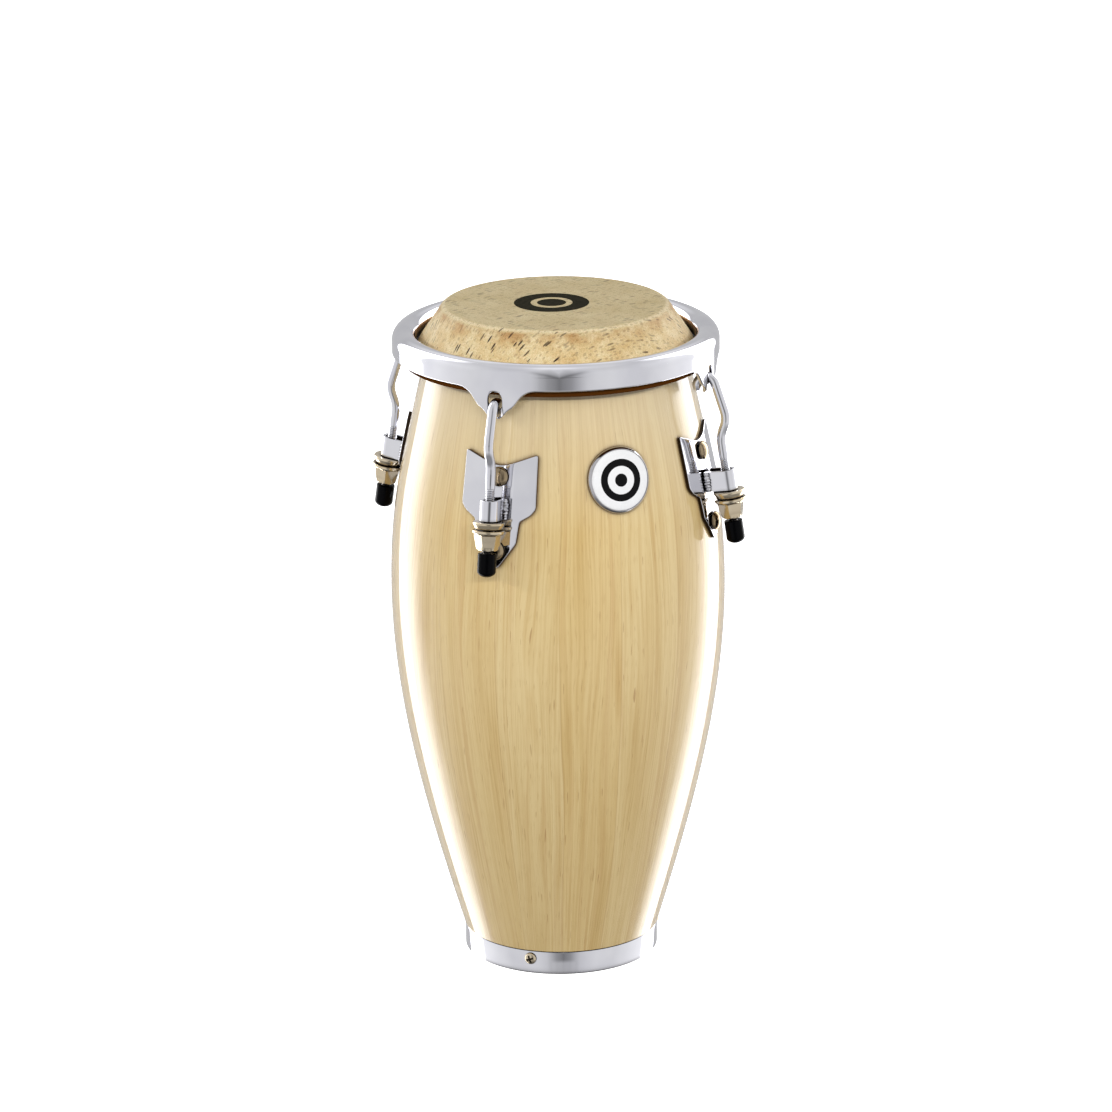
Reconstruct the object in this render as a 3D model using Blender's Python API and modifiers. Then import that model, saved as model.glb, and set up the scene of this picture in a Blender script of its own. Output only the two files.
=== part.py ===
"""A mini conga drum: a staved wooden shell with a tucked skin head, tuned by four hook rods.

The drum stands on its base ring. Z is the drum's axis, the floor is Z = 0, and the badge faces -Y.
"""

import math

import bmesh
import bpy
import numpy as np
from mathutils import Matrix, Vector

MM = 0.001
GAP = 0.3 * MM  # left between two pieces that touch

# Shell: height, outer radius and dr/dz at the foot, the belly, the shoulder and the neck.
SHELL_KNOTS = (
    (10.0 * MM, 41.0 * MM, 0.300),
    (160.0 * MM, 69.65 * MM, 0.0),
    (210.0 * MM, 64.95 * MM, -0.205),
    (267.1 * MM, 52.7 * MM, -0.185),
)
WALL = 9.0 * MM
BEARING_RADIUS = 44.9 * MM
BEARING_HEIGHT = 278.2 * MM
SHELL_STEPS = 40

# Head: a skin pulled down over the bearing edge and tucked round the flesh hoop.
HEAD_HEIGHT = 280.0 * MM
HEAD_RADIUS = 46.4 * MM
SKIN = 1.5 * MM
TUCK = 1.2 * MM
CONE_RADIUS = 56.8 * MM
CONE_HEIGHT = 264.4 * MM
FLESH_INNER = 57.6 * MM
FLESH_OUTER = 62.2 * MM
FLESH_BOTTOM = 258.4 * MM
FLESH_TOP = 263.0 * MM

# Rim: a pressed channel whose bead rolls over the flesh hoop, with four ears.
RIM_RADIUS = 67.5 * MM
RIM_SHEET = 1.6 * MM
BEAD_CENTRE = 62.4 * MM
BEAD_HEIGHT = 265.4 * MM
BEAD_RADIUS = 5.1 * MM
LIP_RADIUS = 57.8 * MM
LIP_SHEET = 1.8 * MM
RIM_EDGE = 260.1 * MM
RIM_STEPS = 72
# Lower edge of an ear: degrees from its centre, and height.
EAR_EDGE = ((0.0, 247.8), (5.0, 251.6), (10.0, 258.2), (15.0, 260.1))
EAR_SLOT_WIDTH = 6.2 * MM
EAR_SLOT_LOW = 251.6 * MM
EAR_SLOT_HIGH = 259.3 * MM
EAR_PRESS = 0.6 * MM  # how far the lip under the slot is pressed in

# Lugs: four, midway between the compass points; turned from +X about Z.
LUGS = {"front_right": -45.0, "back_right": 45.0, "back_left": 135.0, "front_left": 225.0}
ROD_RADIUS = 2.0 * MM
ROD_LEAN = math.radians(8.8)
RECEIVER_RADIUS = 74.76 * MM  # where the rod's axis passes the middle of its receiver
RECEIVER_HEIGHT = 212.0 * MM
HOOK_RADIUS = 3.75 * MM
HOOK_CENTRE = (66.2 * MM, 250.55 * MM)
HOOK_TIP = 248.5 * MM
HOOK_LEAN = math.radians(19.2)
# Places along the rod, up from the middle of the receiver; the jog's are (out, up).
ROD_END = -25.5 * MM
JOG_LOW = (0.0, 17.7 * MM)
JOG_HIGH = (3.84 * MM, 25.2 * MM)
RECEIVER_TOP = 4.0 * MM
RECEIVER_BOTTOM = -4.4 * MM
STRAP_RADIUS = 3.85 * MM  # outside of the receiver's bend
STRAP_SHEET = 1.2 * MM
STRAP_LEG = 7.9 * MM  # its legs reach this far back from the rod's axis
WASHER_TOP = -4.7 * MM
WASHER_BOTTOM = -7.6 * MM
FLANGE_RADIUS = 6.6 * MM
FLANGE_FOOT = 5.0 * MM  # the flange's radius where it meets the hexagon
FLANGE_HEIGHT = 2.6 * MM
NUT_TOP = -8.0 * MM
NUT_BOTTOM = -16.3 * MM
NUT_CORNERS = (5.6 * MM, 4.1 * MM)  # radius of the hexagon's corners at its top and bottom
CAP_TOP = -17.6 * MM
CAP_BOTTOM = -27.3 * MM
CAP_RADIUS = 3.8 * MM
CAP_CROWN = 2.0 * MM
THREAD_BORE = ROD_RADIUS + GAP
BOLTS = {"upper": 222.7 * MM, "lower": 193.3 * MM}
BOLT_RADIUS = 2.0 * MM
BOLT_HEAD = 4.0 * MM
BOLT_DOME = 2.1 * MM
BOLT_STUB = 5.3 * MM  # the bolt ends this far inside the inner washer's seat
BOLT_HOLE = BOLT_RADIUS + GAP
SEAT_DROP = 1.0 * MM  # a flat washer stands this far off the curved inside of the wall
INNER_WASHER_RADIUS = 4.5 * MM
INNER_WASHER = 0.8 * MM
INNER_NUT_CORNERS = 4.04 * MM
INNER_NUT = 3.2 * MM

# Side plate: half of its outline, as distance from the centre line and height.
PLATE = 1.4 * MM
PLATE_HALF = (
    (0.0, 227.1),
    (3.0, 227.4),
    (15.2, 232.0),
    (15.7, 210.5),
    (13.8, 208.0),
    (9.4, 205.3),
    (8.4, 196.4),
    (1.4, 186.4),
    (0.0, 186.0),
)

# Foot: a chromed ring let into the foot of the shell, held by wood screws.
RING_RADIUS = 40.8 * MM
RING_HEIGHT = 9.9 * MM
RING_WALL = 1.6 * MM
RING_FLANGE = 33.0 * MM
RING_FLOOR = 1.5 * MM
SCREW_HEIGHT = 6.6 * MM
SCREW_TURN = -132.1  # of the first screw, in degrees from +X
SCREWS = 3
SCREW_SHANK = 1.3 * MM
SCREW_LENGTH = 7.5 * MM
SCREW_HEAD = 2.5 * MM
SCREW_DOME = 1.3 * MM
SCREW_SLOT = (2.8 * MM, 0.6 * MM, 1.4 * MM)  # one arm of the cross: length, width and depth

BADGE_RADIUS = 13.3 * MM
BADGE_FACE = 12.0 * MM
BADGE_HEIGHT = 220.6 * MM
BADGE_SHEET = 0.8 * MM

parts = bpy.data.collections.new("mini_conga_drum")
cutters = bpy.data.collections.new("cutters")


def clear_scene():
    for obj in list(bpy.data.objects):
        bpy.data.objects.remove(obj)
    bpy.context.scene.collection.children.link(parts)
    bpy.context.scene.collection.children.link(cutters)
    cutters.hide_render = True


def material(name, colour, roughness, metallic=0.0):
    made = bpy.data.materials.new(name)
    made.use_nodes = True
    shader = made.node_tree.nodes["Principled BSDF"]
    shader.inputs["Base Color"].default_value = (*colour, 1.0)
    shader.inputs["Roughness"].default_value = roughness
    shader.inputs["Metallic"].default_value = metallic
    made.diffuse_color = (*colour, 1.0)
    return made


# ---------------------------------------------------------------- shapes


def shell_curve(height):
    """Outer radius of the shell and dr/dz at a height: cubic pieces between the knots."""
    last = len(SHELL_KNOTS) - 2
    index = min(last, max(0, sum(height > knot[0] for knot in SHELL_KNOTS[1:])))
    low, high = SHELL_KNOTS[index], SHELL_KNOTS[index + 1]
    span = high[0] - low[0]
    t = (height - low[0]) / span
    radius = (
        low[1] * (2 * t**3 - 3 * t**2 + 1)
        + high[1] * (3 * t**2 - 2 * t**3)
        + span * (low[2] * (t**3 - 2 * t**2 + t) + high[2] * (t**3 - t**2))
    )
    slope = (
        (low[1] - high[1]) * (6 * t**2 - 6 * t) / span
        + low[2] * (3 * t**2 - 4 * t + 1)
        + high[2] * (3 * t**2 - 2 * t)
    )
    return radius, slope


def above_shell(height, depth):
    """(radius, height) of a point this far out from the shell's surface."""
    radius, slope = shell_curve(height)
    lean = math.atan(-slope)
    return radius + depth * math.cos(lean), height + depth * math.sin(lean)


def arc(centre, radius, start, end, count):
    """Points on an arc, from one angle to the other in degrees."""
    return [
        (
            centre[0] + radius * math.cos(math.radians(angle)),
            centre[1] + radius * math.sin(math.radians(angle)),
        )
        for angle in np.linspace(start, end, count)
    ]


def dome(radius, rise, seat):
    """A round head's profile, from its crown down to the edge of its seat."""
    angles = np.linspace(0.0, 1.4, 4)
    crown = [(radius * math.sin(angle), seat + rise * math.cos(angle)) for angle in angles]
    return crown + [(radius, seat)]


def mesh_of(obj, name):
    """The object's mesh with its modifiers applied; the object itself goes."""
    graph = bpy.context.evaluated_depsgraph_get()
    made = bpy.data.meshes.new_from_object(obj.evaluated_get(graph))
    made.name = name
    bpy.data.objects.remove(obj)
    bm = bmesh.new()
    bm.from_mesh(made)
    bmesh.ops.remove_doubles(bm, verts=bm.verts, dist=0.001 * MM)
    bm.to_mesh(made)
    bm.free()
    return made


def loose(name, data):
    """An object for a shape that is still being made."""
    obj = bpy.data.objects.new(name, data)
    cutters.objects.link(obj)
    obj.display_type = "WIRE"
    obj.hide_render = True
    return obj


def turned(name, profile, steps, closed=True):
    """A profile of (radius, height) turned about Z. It runs down the outer side."""
    made = bpy.data.meshes.new(name)
    edges = [(i, i + 1) for i in range(len(profile) - 1)]
    if closed:
        edges.append((len(profile) - 1, 0))
    made.from_pydata([(radius, 0.0, height) for radius, height in profile], edges, [])
    obj = loose(name, made)
    screw = obj.modifiers.new("turn", "SCREW")
    screw.steps = steps
    screw.render_steps = steps
    screw.use_merge_vertices = True
    screw.merge_threshold = 0.01 * MM
    screw.use_smooth_shade = True
    return mesh_of(obj, name)


def outline(name, points, thickness):
    """A flat outline in XY, as thick as this about Z = 0."""
    curve = bpy.data.curves.new(name, "CURVE")
    curve.dimensions = "2D"
    curve.fill_mode = "BOTH"
    curve.extrude = thickness / 2
    spline = curve.splines.new("POLY")
    spline.points.add(len(points) - 1)
    for point, (x, y) in zip(spline.points, points):
        point.co = (x, y, 0.0, 1.0)
    spline.use_cyclic_u = True
    return mesh_of(loose(name, curve), name)


def wire(name, points, radius):
    curve = bpy.data.curves.new(name, "CURVE")
    curve.dimensions = "3D"
    curve.bevel_depth = radius
    curve.bevel_resolution = 2
    curve.use_fill_caps = True
    spline = curve.splines.new("POLY")
    spline.points.add(len(points) - 1)
    for point, (x, z) in zip(spline.points, points):
        point.co = (x, 0.0, z, 1.0)
    return mesh_of(loose(name, curve), name)


def rod_mesh(name, radius, low, high, sides):
    """A plain cylinder or prism about Z."""
    made = bpy.data.meshes.new(name)
    bm = bmesh.new()
    bmesh.ops.create_cone(
        bm,
        cap_ends=True,
        segments=sides,
        radius1=radius,
        radius2=radius,
        depth=high - low,
        matrix=Matrix.Translation((0.0, 0.0, (low + high) / 2)),
    )
    bm.to_mesh(made)
    bm.free()
    return made


def combined(name, mesh, others, operation):
    """One mesh with others cut from it or joined to it: each is (mesh, matrix)."""
    obj = loose(name, mesh)
    tools = []
    for number, (other, matrix) in enumerate(others):
        tool = loose(f"{name}_tool_{number}", other)
        tool.matrix_world = matrix
        tools.append(tool)
        boolean = obj.modifiers.new(tool.name, "BOOLEAN")
        boolean.operation = operation
        boolean.object = tool
    bpy.context.view_layer.update()
    made = mesh_of(obj, name)
    for tool in tools:
        bpy.data.objects.remove(tool)
    return made


def place(name, mesh, finish, parent=None, matrix=None):
    """A finished sub-part: one named object."""
    obj = bpy.data.objects.new(name, mesh)
    parts.objects.link(obj)
    if not mesh.materials:
        mesh.materials.append(finish)
    mesh.shade_smooth()
    mesh.set_sharp_from_angle(angle=math.radians(35.0))
    obj.parent = parent
    if matrix is not None:
        obj.matrix_local = matrix
    return obj


def frame(name, matrix, parent=None):
    """An empty that holds a group of sub-parts."""
    empty = bpy.data.objects.new(name, None)
    parts.objects.link(empty)
    empty.empty_display_size = 10 * MM
    empty.parent = parent
    empty.matrix_local = matrix
    return empty


def turn_z(degrees):
    return Matrix.Rotation(math.radians(degrees), 4, "Z")


def bolt_frame(height, turn):
    """A frame on the shell's surface whose Z points straight out of it."""
    radius, slope = shell_curve(height)
    out = Matrix.Rotation(math.radians(90.0) - math.atan(-slope), 4, "Y")
    return turn_z(turn) @ Matrix.Translation((radius, 0.0, height)) @ out


def wrapped(mesh, splits_x, splits_y):
    """Bends a flat piece onto the shell: its X goes round, its Y is the height, its Z is out."""
    bm = bmesh.new()
    bm.from_mesh(mesh)
    for axis, splits in (((1, 0, 0), splits_x), ((0, 1, 0), splits_y)):
        for at in splits:
            bmesh.ops.bisect_plane(
                bm,
                geom=bm.verts[:] + bm.edges[:] + bm.faces[:],
                plane_co=Vector(axis) * at,
                plane_no=axis,
            )
    for vert in bm.verts:
        across, height, depth = vert.co
        radius, _ = shell_curve(height)
        far, up = above_shell(height, depth)
        angle = across / radius
        vert.co = (far * math.cos(angle), far * math.sin(angle), up)
    bm.normal_update()
    bmesh.ops.recalc_face_normals(bm, faces=bm.faces)
    bm.to_mesh(mesh)
    bm.free()
    return mesh


# ---------------------------------------------------------------- drum


def make_shell(wood):
    heights = np.linspace(SHELL_KNOTS[0][0] + GAP, SHELL_KNOTS[-1][0], 13)
    outer = [(shell_curve(height)[0], height) for height in heights[::-1]]
    inner = [above_shell(height, -WALL) for height in np.linspace(heights[0], heights[-1], 11)]
    foot = RING_RADIUS - RING_WALL - GAP
    floor = RING_FLOOR + GAP
    profile = [(BEARING_RADIUS, BEARING_HEIGHT)] + outer
    profile += [(foot, heights[0]), (foot, floor), (inner[0][0] - 1.5 * MM, floor)]
    profile += inner[:-1]
    profile += [(BEARING_RADIUS - 1.6 * MM, heights[-1]), (BEARING_RADIUS - 1.0 * MM, BEARING_HEIGHT)]
    body = turned("shell", profile, SHELL_STEPS)
    bore = rod_mesh("bolt_bore", BOLT_HOLE, -2 * WALL, WALL, 12)
    holes = [
        (bore, bolt_frame(height, turn)) for turn in LUGS.values() for height in BOLTS.values()
    ]
    pilot = rod_mesh("screw_pilot", SCREW_SHANK + GAP, -SCREW_LENGTH - 0.5 * MM, RING_WALL, 12)
    holes += [(pilot, screw_frame(number)) for number in range(SCREWS)]
    place("shell", combined("shell", body, holes, "DIFFERENCE"), wood)


def screw_frame(number):
    """A frame on the base ring's outside whose Z points out."""
    spin = turn_z(SCREW_TURN + number * 360.0 / SCREWS)
    out = Matrix.Rotation(math.radians(90.0), 4, "Y")
    return spin @ Matrix.Translation((RING_RADIUS, 0.0, SCREW_HEIGHT)) @ out


def make_base(chrome, nickel):
    inner = RING_RADIUS - RING_WALL
    profile = [
        (RING_RADIUS, RING_HEIGHT),
        (RING_RADIUS, 0.6 * MM),
        (RING_RADIUS - 0.6 * MM, 0.0),
        (RING_FLANGE, 0.0),
        (RING_FLANGE, RING_FLOOR),
        (inner, RING_FLOOR),
        (inner, RING_HEIGHT),
    ]
    ring = turned("base_ring", profile, SHELL_STEPS)
    bore = rod_mesh("ring_bore", SCREW_SHANK + GAP, -2 * RING_WALL, RING_WALL, 12)
    holes = [(bore, screw_frame(number)) for number in range(SCREWS)]
    place("base_ring", combined("base_ring", ring, holes, "DIFFERENCE"), chrome)

    profile = dome(SCREW_HEAD, SCREW_DOME, GAP)
    profile += [(SCREW_SHANK, GAP), (SCREW_SHANK, 1.5 * MM - SCREW_LENGTH), (0.0, -SCREW_LENGTH)]
    screw = turned("base_screw", profile, 12, closed=False)
    slot = bpy.data.meshes.new("screw_slot")
    bm = bmesh.new()
    size = Matrix.Diagonal((*SCREW_SLOT, 1.0))
    bmesh.ops.create_cube(bm, size=1.0, matrix=Matrix.Translation((0, 0, GAP + SCREW_DOME)) @ size)
    bm.to_mesh(slot)
    bm.free()
    slots = [(slot, Matrix.Identity(4)), (slot, turn_z(90.0))]
    screw = combined("base_screw", screw, slots, "DIFFERENCE")
    for number in range(SCREWS):
        place(f"base_screw_{number + 1}", screw, nickel, matrix=screw_frame(number))


def make_head(skin, metal):
    cone = Vector((CONE_RADIUS - HEAD_RADIUS, CONE_HEIGHT - HEAD_HEIGHT)).normalized()
    inward = Vector((cone.y, -cone.x)) * SKIN
    tuck = FLESH_INNER - GAP
    low = FLESH_BOTTOM - GAP
    rim = FLESH_OUTER + GAP
    profile = [
        (0.0, HEAD_HEIGHT),
        (HEAD_RADIUS - 1.8 * MM, HEAD_HEIGHT),
        (HEAD_RADIUS - 0.4 * MM, HEAD_HEIGHT - 0.4 * MM),
        (HEAD_RADIUS + 0.9 * MM, HEAD_HEIGHT - 1.6 * MM),
        (CONE_RADIUS, CONE_HEIGHT),
        (tuck, CONE_HEIGHT - 1.4 * MM),
        (tuck, low),
        (rim, low),
        (rim, FLESH_TOP - 1.0 * MM),
        (rim + TUCK, FLESH_TOP - 1.0 * MM),
        (rim + TUCK, low - TUCK),
        (tuck - TUCK, low - TUCK),
        (tuck - TUCK, CONE_HEIGHT - 1.0 * MM),
        (HEAD_RADIUS + inward.x, HEAD_HEIGHT + inward.y - 0.2 * MM),
        (HEAD_RADIUS - 2.4 * MM, HEAD_HEIGHT - SKIN),
        (0.0, HEAD_HEIGHT - SKIN),
    ]
    place("drumhead_skin", turned("drumhead_skin", profile, SHELL_STEPS, closed=False), skin)
    profile = [
        (FLESH_OUTER, FLESH_TOP),
        (FLESH_OUTER, FLESH_BOTTOM),
        (FLESH_INNER, FLESH_BOTTOM),
        (FLESH_INNER, FLESH_TOP),
    ]
    place("flesh_hoop", turned("flesh_hoop", profile, SHELL_STEPS), metal)


def make_rim(chrome):
    centre = (BEAD_CENTRE, BEAD_HEIGHT)
    inner = RIM_RADIUS - RIM_SHEET
    profile = arc(centre, BEAD_RADIUS, 90.0, 0.0, 4)
    profile += [(RIM_RADIUS, RIM_EDGE), (inner, RIM_EDGE)]
    profile += arc(centre, BEAD_RADIUS - RIM_SHEET, 0.0, 150.0, 4)
    profile += [(LIP_RADIUS + LIP_SHEET, FLESH_TOP + GAP), (LIP_RADIUS, FLESH_TOP + GAP)]
    profile += arc(centre, BEAD_RADIUS, 180.0, 135.0, 2)
    ring = turned("tension_rim", profile, RIM_STEPS)
    degrees, heights = np.transpose(EAR_EDGE)
    for vert in ring.vertices:
        if abs(vert.co.z - RIM_EDGE) > 0.01 * MM:
            continue
        angle = math.degrees(math.atan2(vert.co.y, vert.co.x))
        off = abs((angle % 90.0) - 45.0)
        vert.co.z = np.interp(off, degrees, heights) * MM
        if off < 1.0:
            vert.co.x *= 1 - EAR_PRESS / RIM_RADIUS
            vert.co.y *= 1 - EAR_PRESS / RIM_RADIUS
    slot = rod_mesh("ear_slot", EAR_SLOT_WIDTH / 2, -4 * MM, 4 * MM, 16)
    tall = EAR_SLOT_HIGH - EAR_SLOT_LOW - EAR_SLOT_WIDTH
    for vert in slot.vertices:
        vert.co.x += math.copysign(tall / 2, vert.co.x)
    middle = (EAR_SLOT_LOW + EAR_SLOT_HIGH) / 2
    out = Matrix.Translation((RIM_RADIUS, 0.0, middle)) @ Matrix.Rotation(math.radians(90.0), 4, "Y")
    slots = [(slot, turn_z(turn) @ out) for turn in LUGS.values()]
    place("tension_rim", combined("tension_rim", ring, slots, "DIFFERENCE"), chrome)


def make_badge(dark, enamel):
    across = [at * MM for at in (-8, -2.7, 2.7, 8)]
    up = [BADGE_HEIGHT]
    sizes = (
        ("badge_backing", BADGE_RADIUS, GAP, dark),
        ("badge_face", BADGE_FACE, 2 * GAP + BADGE_SHEET, enamel),
    )
    for name, radius, depth, finish in sizes:
        disc = outline(name, arc((0.0, BADGE_HEIGHT), radius, 0.0, 348.0, 30), BADGE_SHEET)
        disc.transform(Matrix.Translation((0.0, 0.0, depth + BADGE_SHEET / 2)))
        place(name, wrapped(disc, across, up), finish, matrix=turn_z(-90.0))


# ---------------------------------------------------------------- lugs


def rod_point(radius, height):
    """(out, up) along the rod's own leaning axes, from the middle of the receiver."""
    out = radius - RECEIVER_RADIUS
    up = height - RECEIVER_HEIGHT
    return (
        out * math.cos(ROD_LEAN) + up * math.sin(ROD_LEAN),
        up * math.cos(ROD_LEAN) - out * math.sin(ROD_LEAN),
    )


def eased(points, length):
    """A path of (x, z) points with each corner but the ends cut to a short curve."""
    path = [Vector(points[0])]
    for before, corner, after in zip(points, points[1:], points[2:]):
        corner = Vector(corner)
        start = corner + (Vector(before) - corner).normalized() * length
        end = corner + (Vector(after) - corner).normalized() * length
        path += [start, (start + 2 * corner + end) / 4, end]
    return path + [Vector(points[-1])]


def hook_rod():
    start = math.degrees(HOOK_LEAN)
    hook = arc(HOOK_CENTRE, HOOK_RADIUS, start, 180.0, 7)
    hook.append((HOOK_CENTRE[0] - HOOK_RADIUS, HOOK_TIP))
    hook = [rod_point(*point) for point in hook]
    path = eased([(0.0, ROD_END), JOG_LOW, JOG_HIGH, hook[0]], 2.0 * MM)
    return wire("hook_rod", [tuple(point) for point in path] + hook[1:], ROD_RADIUS)


def tuning_nut():
    flange = turned(
        "nut_flange",
        [
            (FLANGE_RADIUS, NUT_TOP),
            (FLANGE_RADIUS, NUT_TOP - 1.0 * MM),
            (FLANGE_FOOT, NUT_TOP - FLANGE_HEIGHT),
            (THREAD_BORE + 0.9 * MM, NUT_TOP - FLANGE_HEIGHT),
            (THREAD_BORE + 0.9 * MM, NUT_TOP),
        ],
        18,
    )
    prism = bpy.data.meshes.new("nut_hexagon")
    bm = bmesh.new()
    top = NUT_TOP - 0.8 * MM
    bmesh.ops.create_cone(
        bm,
        cap_ends=True,
        segments=6,
        radius1=NUT_CORNERS[1],
        radius2=NUT_CORNERS[0],
        depth=top - NUT_BOTTOM,
        matrix=Matrix.Translation((0.0, 0.0, (top + NUT_BOTTOM) / 2)),
    )
    bm.to_mesh(prism)
    bm.free()
    nut = combined("tuning_nut", flange, [(prism, Matrix.Identity(4))], "UNION")
    bore = rod_mesh("nut_bore", THREAD_BORE, NUT_BOTTOM - 1 * MM, NUT_TOP + 1 * MM, 12)
    return combined("tuning_nut", nut, [(bore, Matrix.Identity(4))], "DIFFERENCE")


def lug_washer():
    profile = [
        (FLANGE_RADIUS - 0.2 * MM, WASHER_TOP),
        (FLANGE_RADIUS, WASHER_TOP - 0.6 * MM),
        (FLANGE_RADIUS - 1.0 * MM, WASHER_BOTTOM),
        (THREAD_BORE, WASHER_BOTTOM),
        (THREAD_BORE, WASHER_TOP),
    ]
    return turned("lug_washer", profile, 18)


def rod_cap():
    crown = dome(CAP_RADIUS, CAP_CROWN, 0.0)[::-1]
    crown = [(across, CAP_BOTTOM + CAP_CROWN - up) for across, up in crown]
    profile = [(THREAD_BORE, CAP_TOP), (CAP_RADIUS, CAP_TOP)] + crown
    profile += [(0.0, ROD_END - 0.5 * MM), (THREAD_BORE, ROD_END - 0.5 * MM), (THREAD_BORE, CAP_TOP)]
    return turned("rod_cap", profile, 16, closed=False)


def receiver():
    """A strap bent round the rod, with its two legs on the side plate."""
    inner = STRAP_RADIUS - STRAP_SHEET
    points = [(-STRAP_LEG, -STRAP_RADIUS)]
    points += arc((0.0, 0.0), STRAP_RADIUS, -90.0, 90.0, 9)
    points += [(-STRAP_LEG, STRAP_RADIUS), (-STRAP_LEG, inner)]
    points += arc((0.0, 0.0), inner, 90.0, -90.0, 9)
    points += [(-STRAP_LEG, -inner)]
    strap = outline("rod_receiver", points, RECEIVER_TOP - RECEIVER_BOTTOM)
    strap.transform(Matrix.Translation((0.0, 0.0, (RECEIVER_TOP + RECEIVER_BOTTOM) / 2)))
    return strap


def side_plate():
    half = [(across * MM, height * MM) for across, height in PLATE_HALF]
    other = [(-across, height) for across, height in half[-2:0:-1]]
    sheet = outline("side_plate", half + other, PLATE)
    sheet.transform(Matrix.Translation((0.0, 0.0, GAP + PLATE / 2)))
    across = [at * MM for at in (-9, -3, 3, 9)]
    up = [at * MM for at in (200, 215)]
    sheet = wrapped(sheet, across, up)
    bore = rod_mesh("plate_bore", BOLT_HOLE, -2 * MM, 4 * MM, 12)
    holes = [(bore, bolt_frame(height, 0.0)) for height in BOLTS.values()]
    return combined("side_plate", sheet, holes, "DIFFERENCE")


def plate_bolt():
    seat = PLATE + 2 * GAP
    end = -WALL - SEAT_DROP - BOLT_STUB
    profile = dome(BOLT_HEAD, BOLT_DOME, seat)
    profile += [(BOLT_RADIUS, seat), (BOLT_RADIUS, end), (0.0, end)]
    return turned("plate_bolt", profile, 12, closed=False)


def inner_washer():
    top = -WALL - SEAT_DROP
    bottom = top - INNER_WASHER
    outside = [(INNER_WASHER_RADIUS, top), (INNER_WASHER_RADIUS, bottom)]
    profile = outside + [(BOLT_HOLE, bottom), (BOLT_HOLE, top)]
    return turned("inner_washer", profile, 12)


def inner_nut():
    top = -WALL - SEAT_DROP - INNER_WASHER - GAP
    prism = rod_mesh("inner_nut", INNER_NUT_CORNERS, top - INNER_NUT, top, 6)
    bore = rod_mesh("inner_nut_bore", BOLT_HOLE, top - 2 * INNER_NUT, top + INNER_NUT, 12)
    return combined("inner_nut", prism, [(bore, Matrix.Identity(4))], "DIFFERENCE")


def make_lugs(chrome, nickel, rubber, zinc):
    rod_axis = Matrix.Translation((RECEIVER_RADIUS, 0.0, RECEIVER_HEIGHT))
    rod_axis = rod_axis @ Matrix.Rotation(-ROD_LEAN, 4, "Y")
    on_rod = (
        ("hook_rod", hook_rod(), chrome),
        ("rod_cap", rod_cap(), rubber),
        ("tuning_nut", tuning_nut(), nickel),
        ("lug_washer", lug_washer(), nickel),
        ("rod_receiver", receiver(), chrome),
    )
    on_bolt = (
        ("plate_bolt", plate_bolt(), nickel),
        ("inner_washer", inner_washer(), zinc),
        ("inner_nut", inner_nut(), zinc),
    )
    plate = side_plate()
    for side, turn in LUGS.items():
        lug = frame(f"lug_{side}", turn_z(turn))
        axis = frame(f"rod_axis_{side}", rod_axis, lug)
        place(f"side_plate_{side}", plate, chrome, lug)
        for name, mesh, finish in on_rod:
            place(f"{name}_{side}", mesh, finish, axis)
        for row, height in BOLTS.items():
            bolt = frame(f"bolt_axis_{row}_{side}", bolt_frame(height, 0.0), lug)
            for name, mesh, finish in on_bolt:
                place(f"{name}_{row}_{side}", mesh, finish, bolt)


def main():
    clear_scene()
    wood = material("lacquered_rubberwood", (0.72, 0.53, 0.29), 0.25)
    chrome = material("chrome", (0.78, 0.78, 0.80), 0.08, 1.0)
    nickel = material("bright_nickel", (0.74, 0.69, 0.60), 0.2, 1.0)
    zinc = material("zinc_plated_steel", (0.60, 0.61, 0.62), 0.35, 1.0)
    skin = material("drum_skin", (0.62, 0.54, 0.38), 0.6)
    rubber = material("black_rubber", (0.02, 0.02, 0.02), 0.6)
    dark = material("badge_metal", (0.55, 0.55, 0.56), 0.3, 1.0)
    enamel = material("white_enamel", (0.85, 0.85, 0.84), 0.25)
    make_shell(wood)
    make_base(chrome, nickel)
    make_head(skin, zinc)
    make_rim(chrome)
    make_badge(dark, enamel)
    make_lugs(chrome, nickel, rubber, zinc)


main()
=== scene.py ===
"""The looks of the mini conga drum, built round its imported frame.

Shapes are worked out in millimetres and become metres when a mesh is made. A turn is an angle
about the drum's axis, in degrees from +X. The badge faces -Y.
"""

import math

import bmesh
import bpy
import numpy as np
from mathutils import Matrix, Vector, noise


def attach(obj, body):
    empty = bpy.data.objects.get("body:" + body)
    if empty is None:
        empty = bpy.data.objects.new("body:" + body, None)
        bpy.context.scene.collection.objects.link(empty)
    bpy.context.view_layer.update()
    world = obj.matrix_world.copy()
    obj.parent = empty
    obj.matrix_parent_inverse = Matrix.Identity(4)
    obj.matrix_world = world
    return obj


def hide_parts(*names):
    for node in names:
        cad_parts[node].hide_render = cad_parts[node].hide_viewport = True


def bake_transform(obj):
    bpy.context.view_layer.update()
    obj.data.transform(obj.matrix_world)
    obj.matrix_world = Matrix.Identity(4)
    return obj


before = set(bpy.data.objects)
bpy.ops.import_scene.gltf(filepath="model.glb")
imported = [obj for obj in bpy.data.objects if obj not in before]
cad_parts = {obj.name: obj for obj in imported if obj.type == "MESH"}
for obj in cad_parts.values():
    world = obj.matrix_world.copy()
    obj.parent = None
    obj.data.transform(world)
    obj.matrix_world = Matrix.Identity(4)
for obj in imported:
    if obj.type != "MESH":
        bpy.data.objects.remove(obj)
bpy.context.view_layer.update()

MM = 0.001

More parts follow.
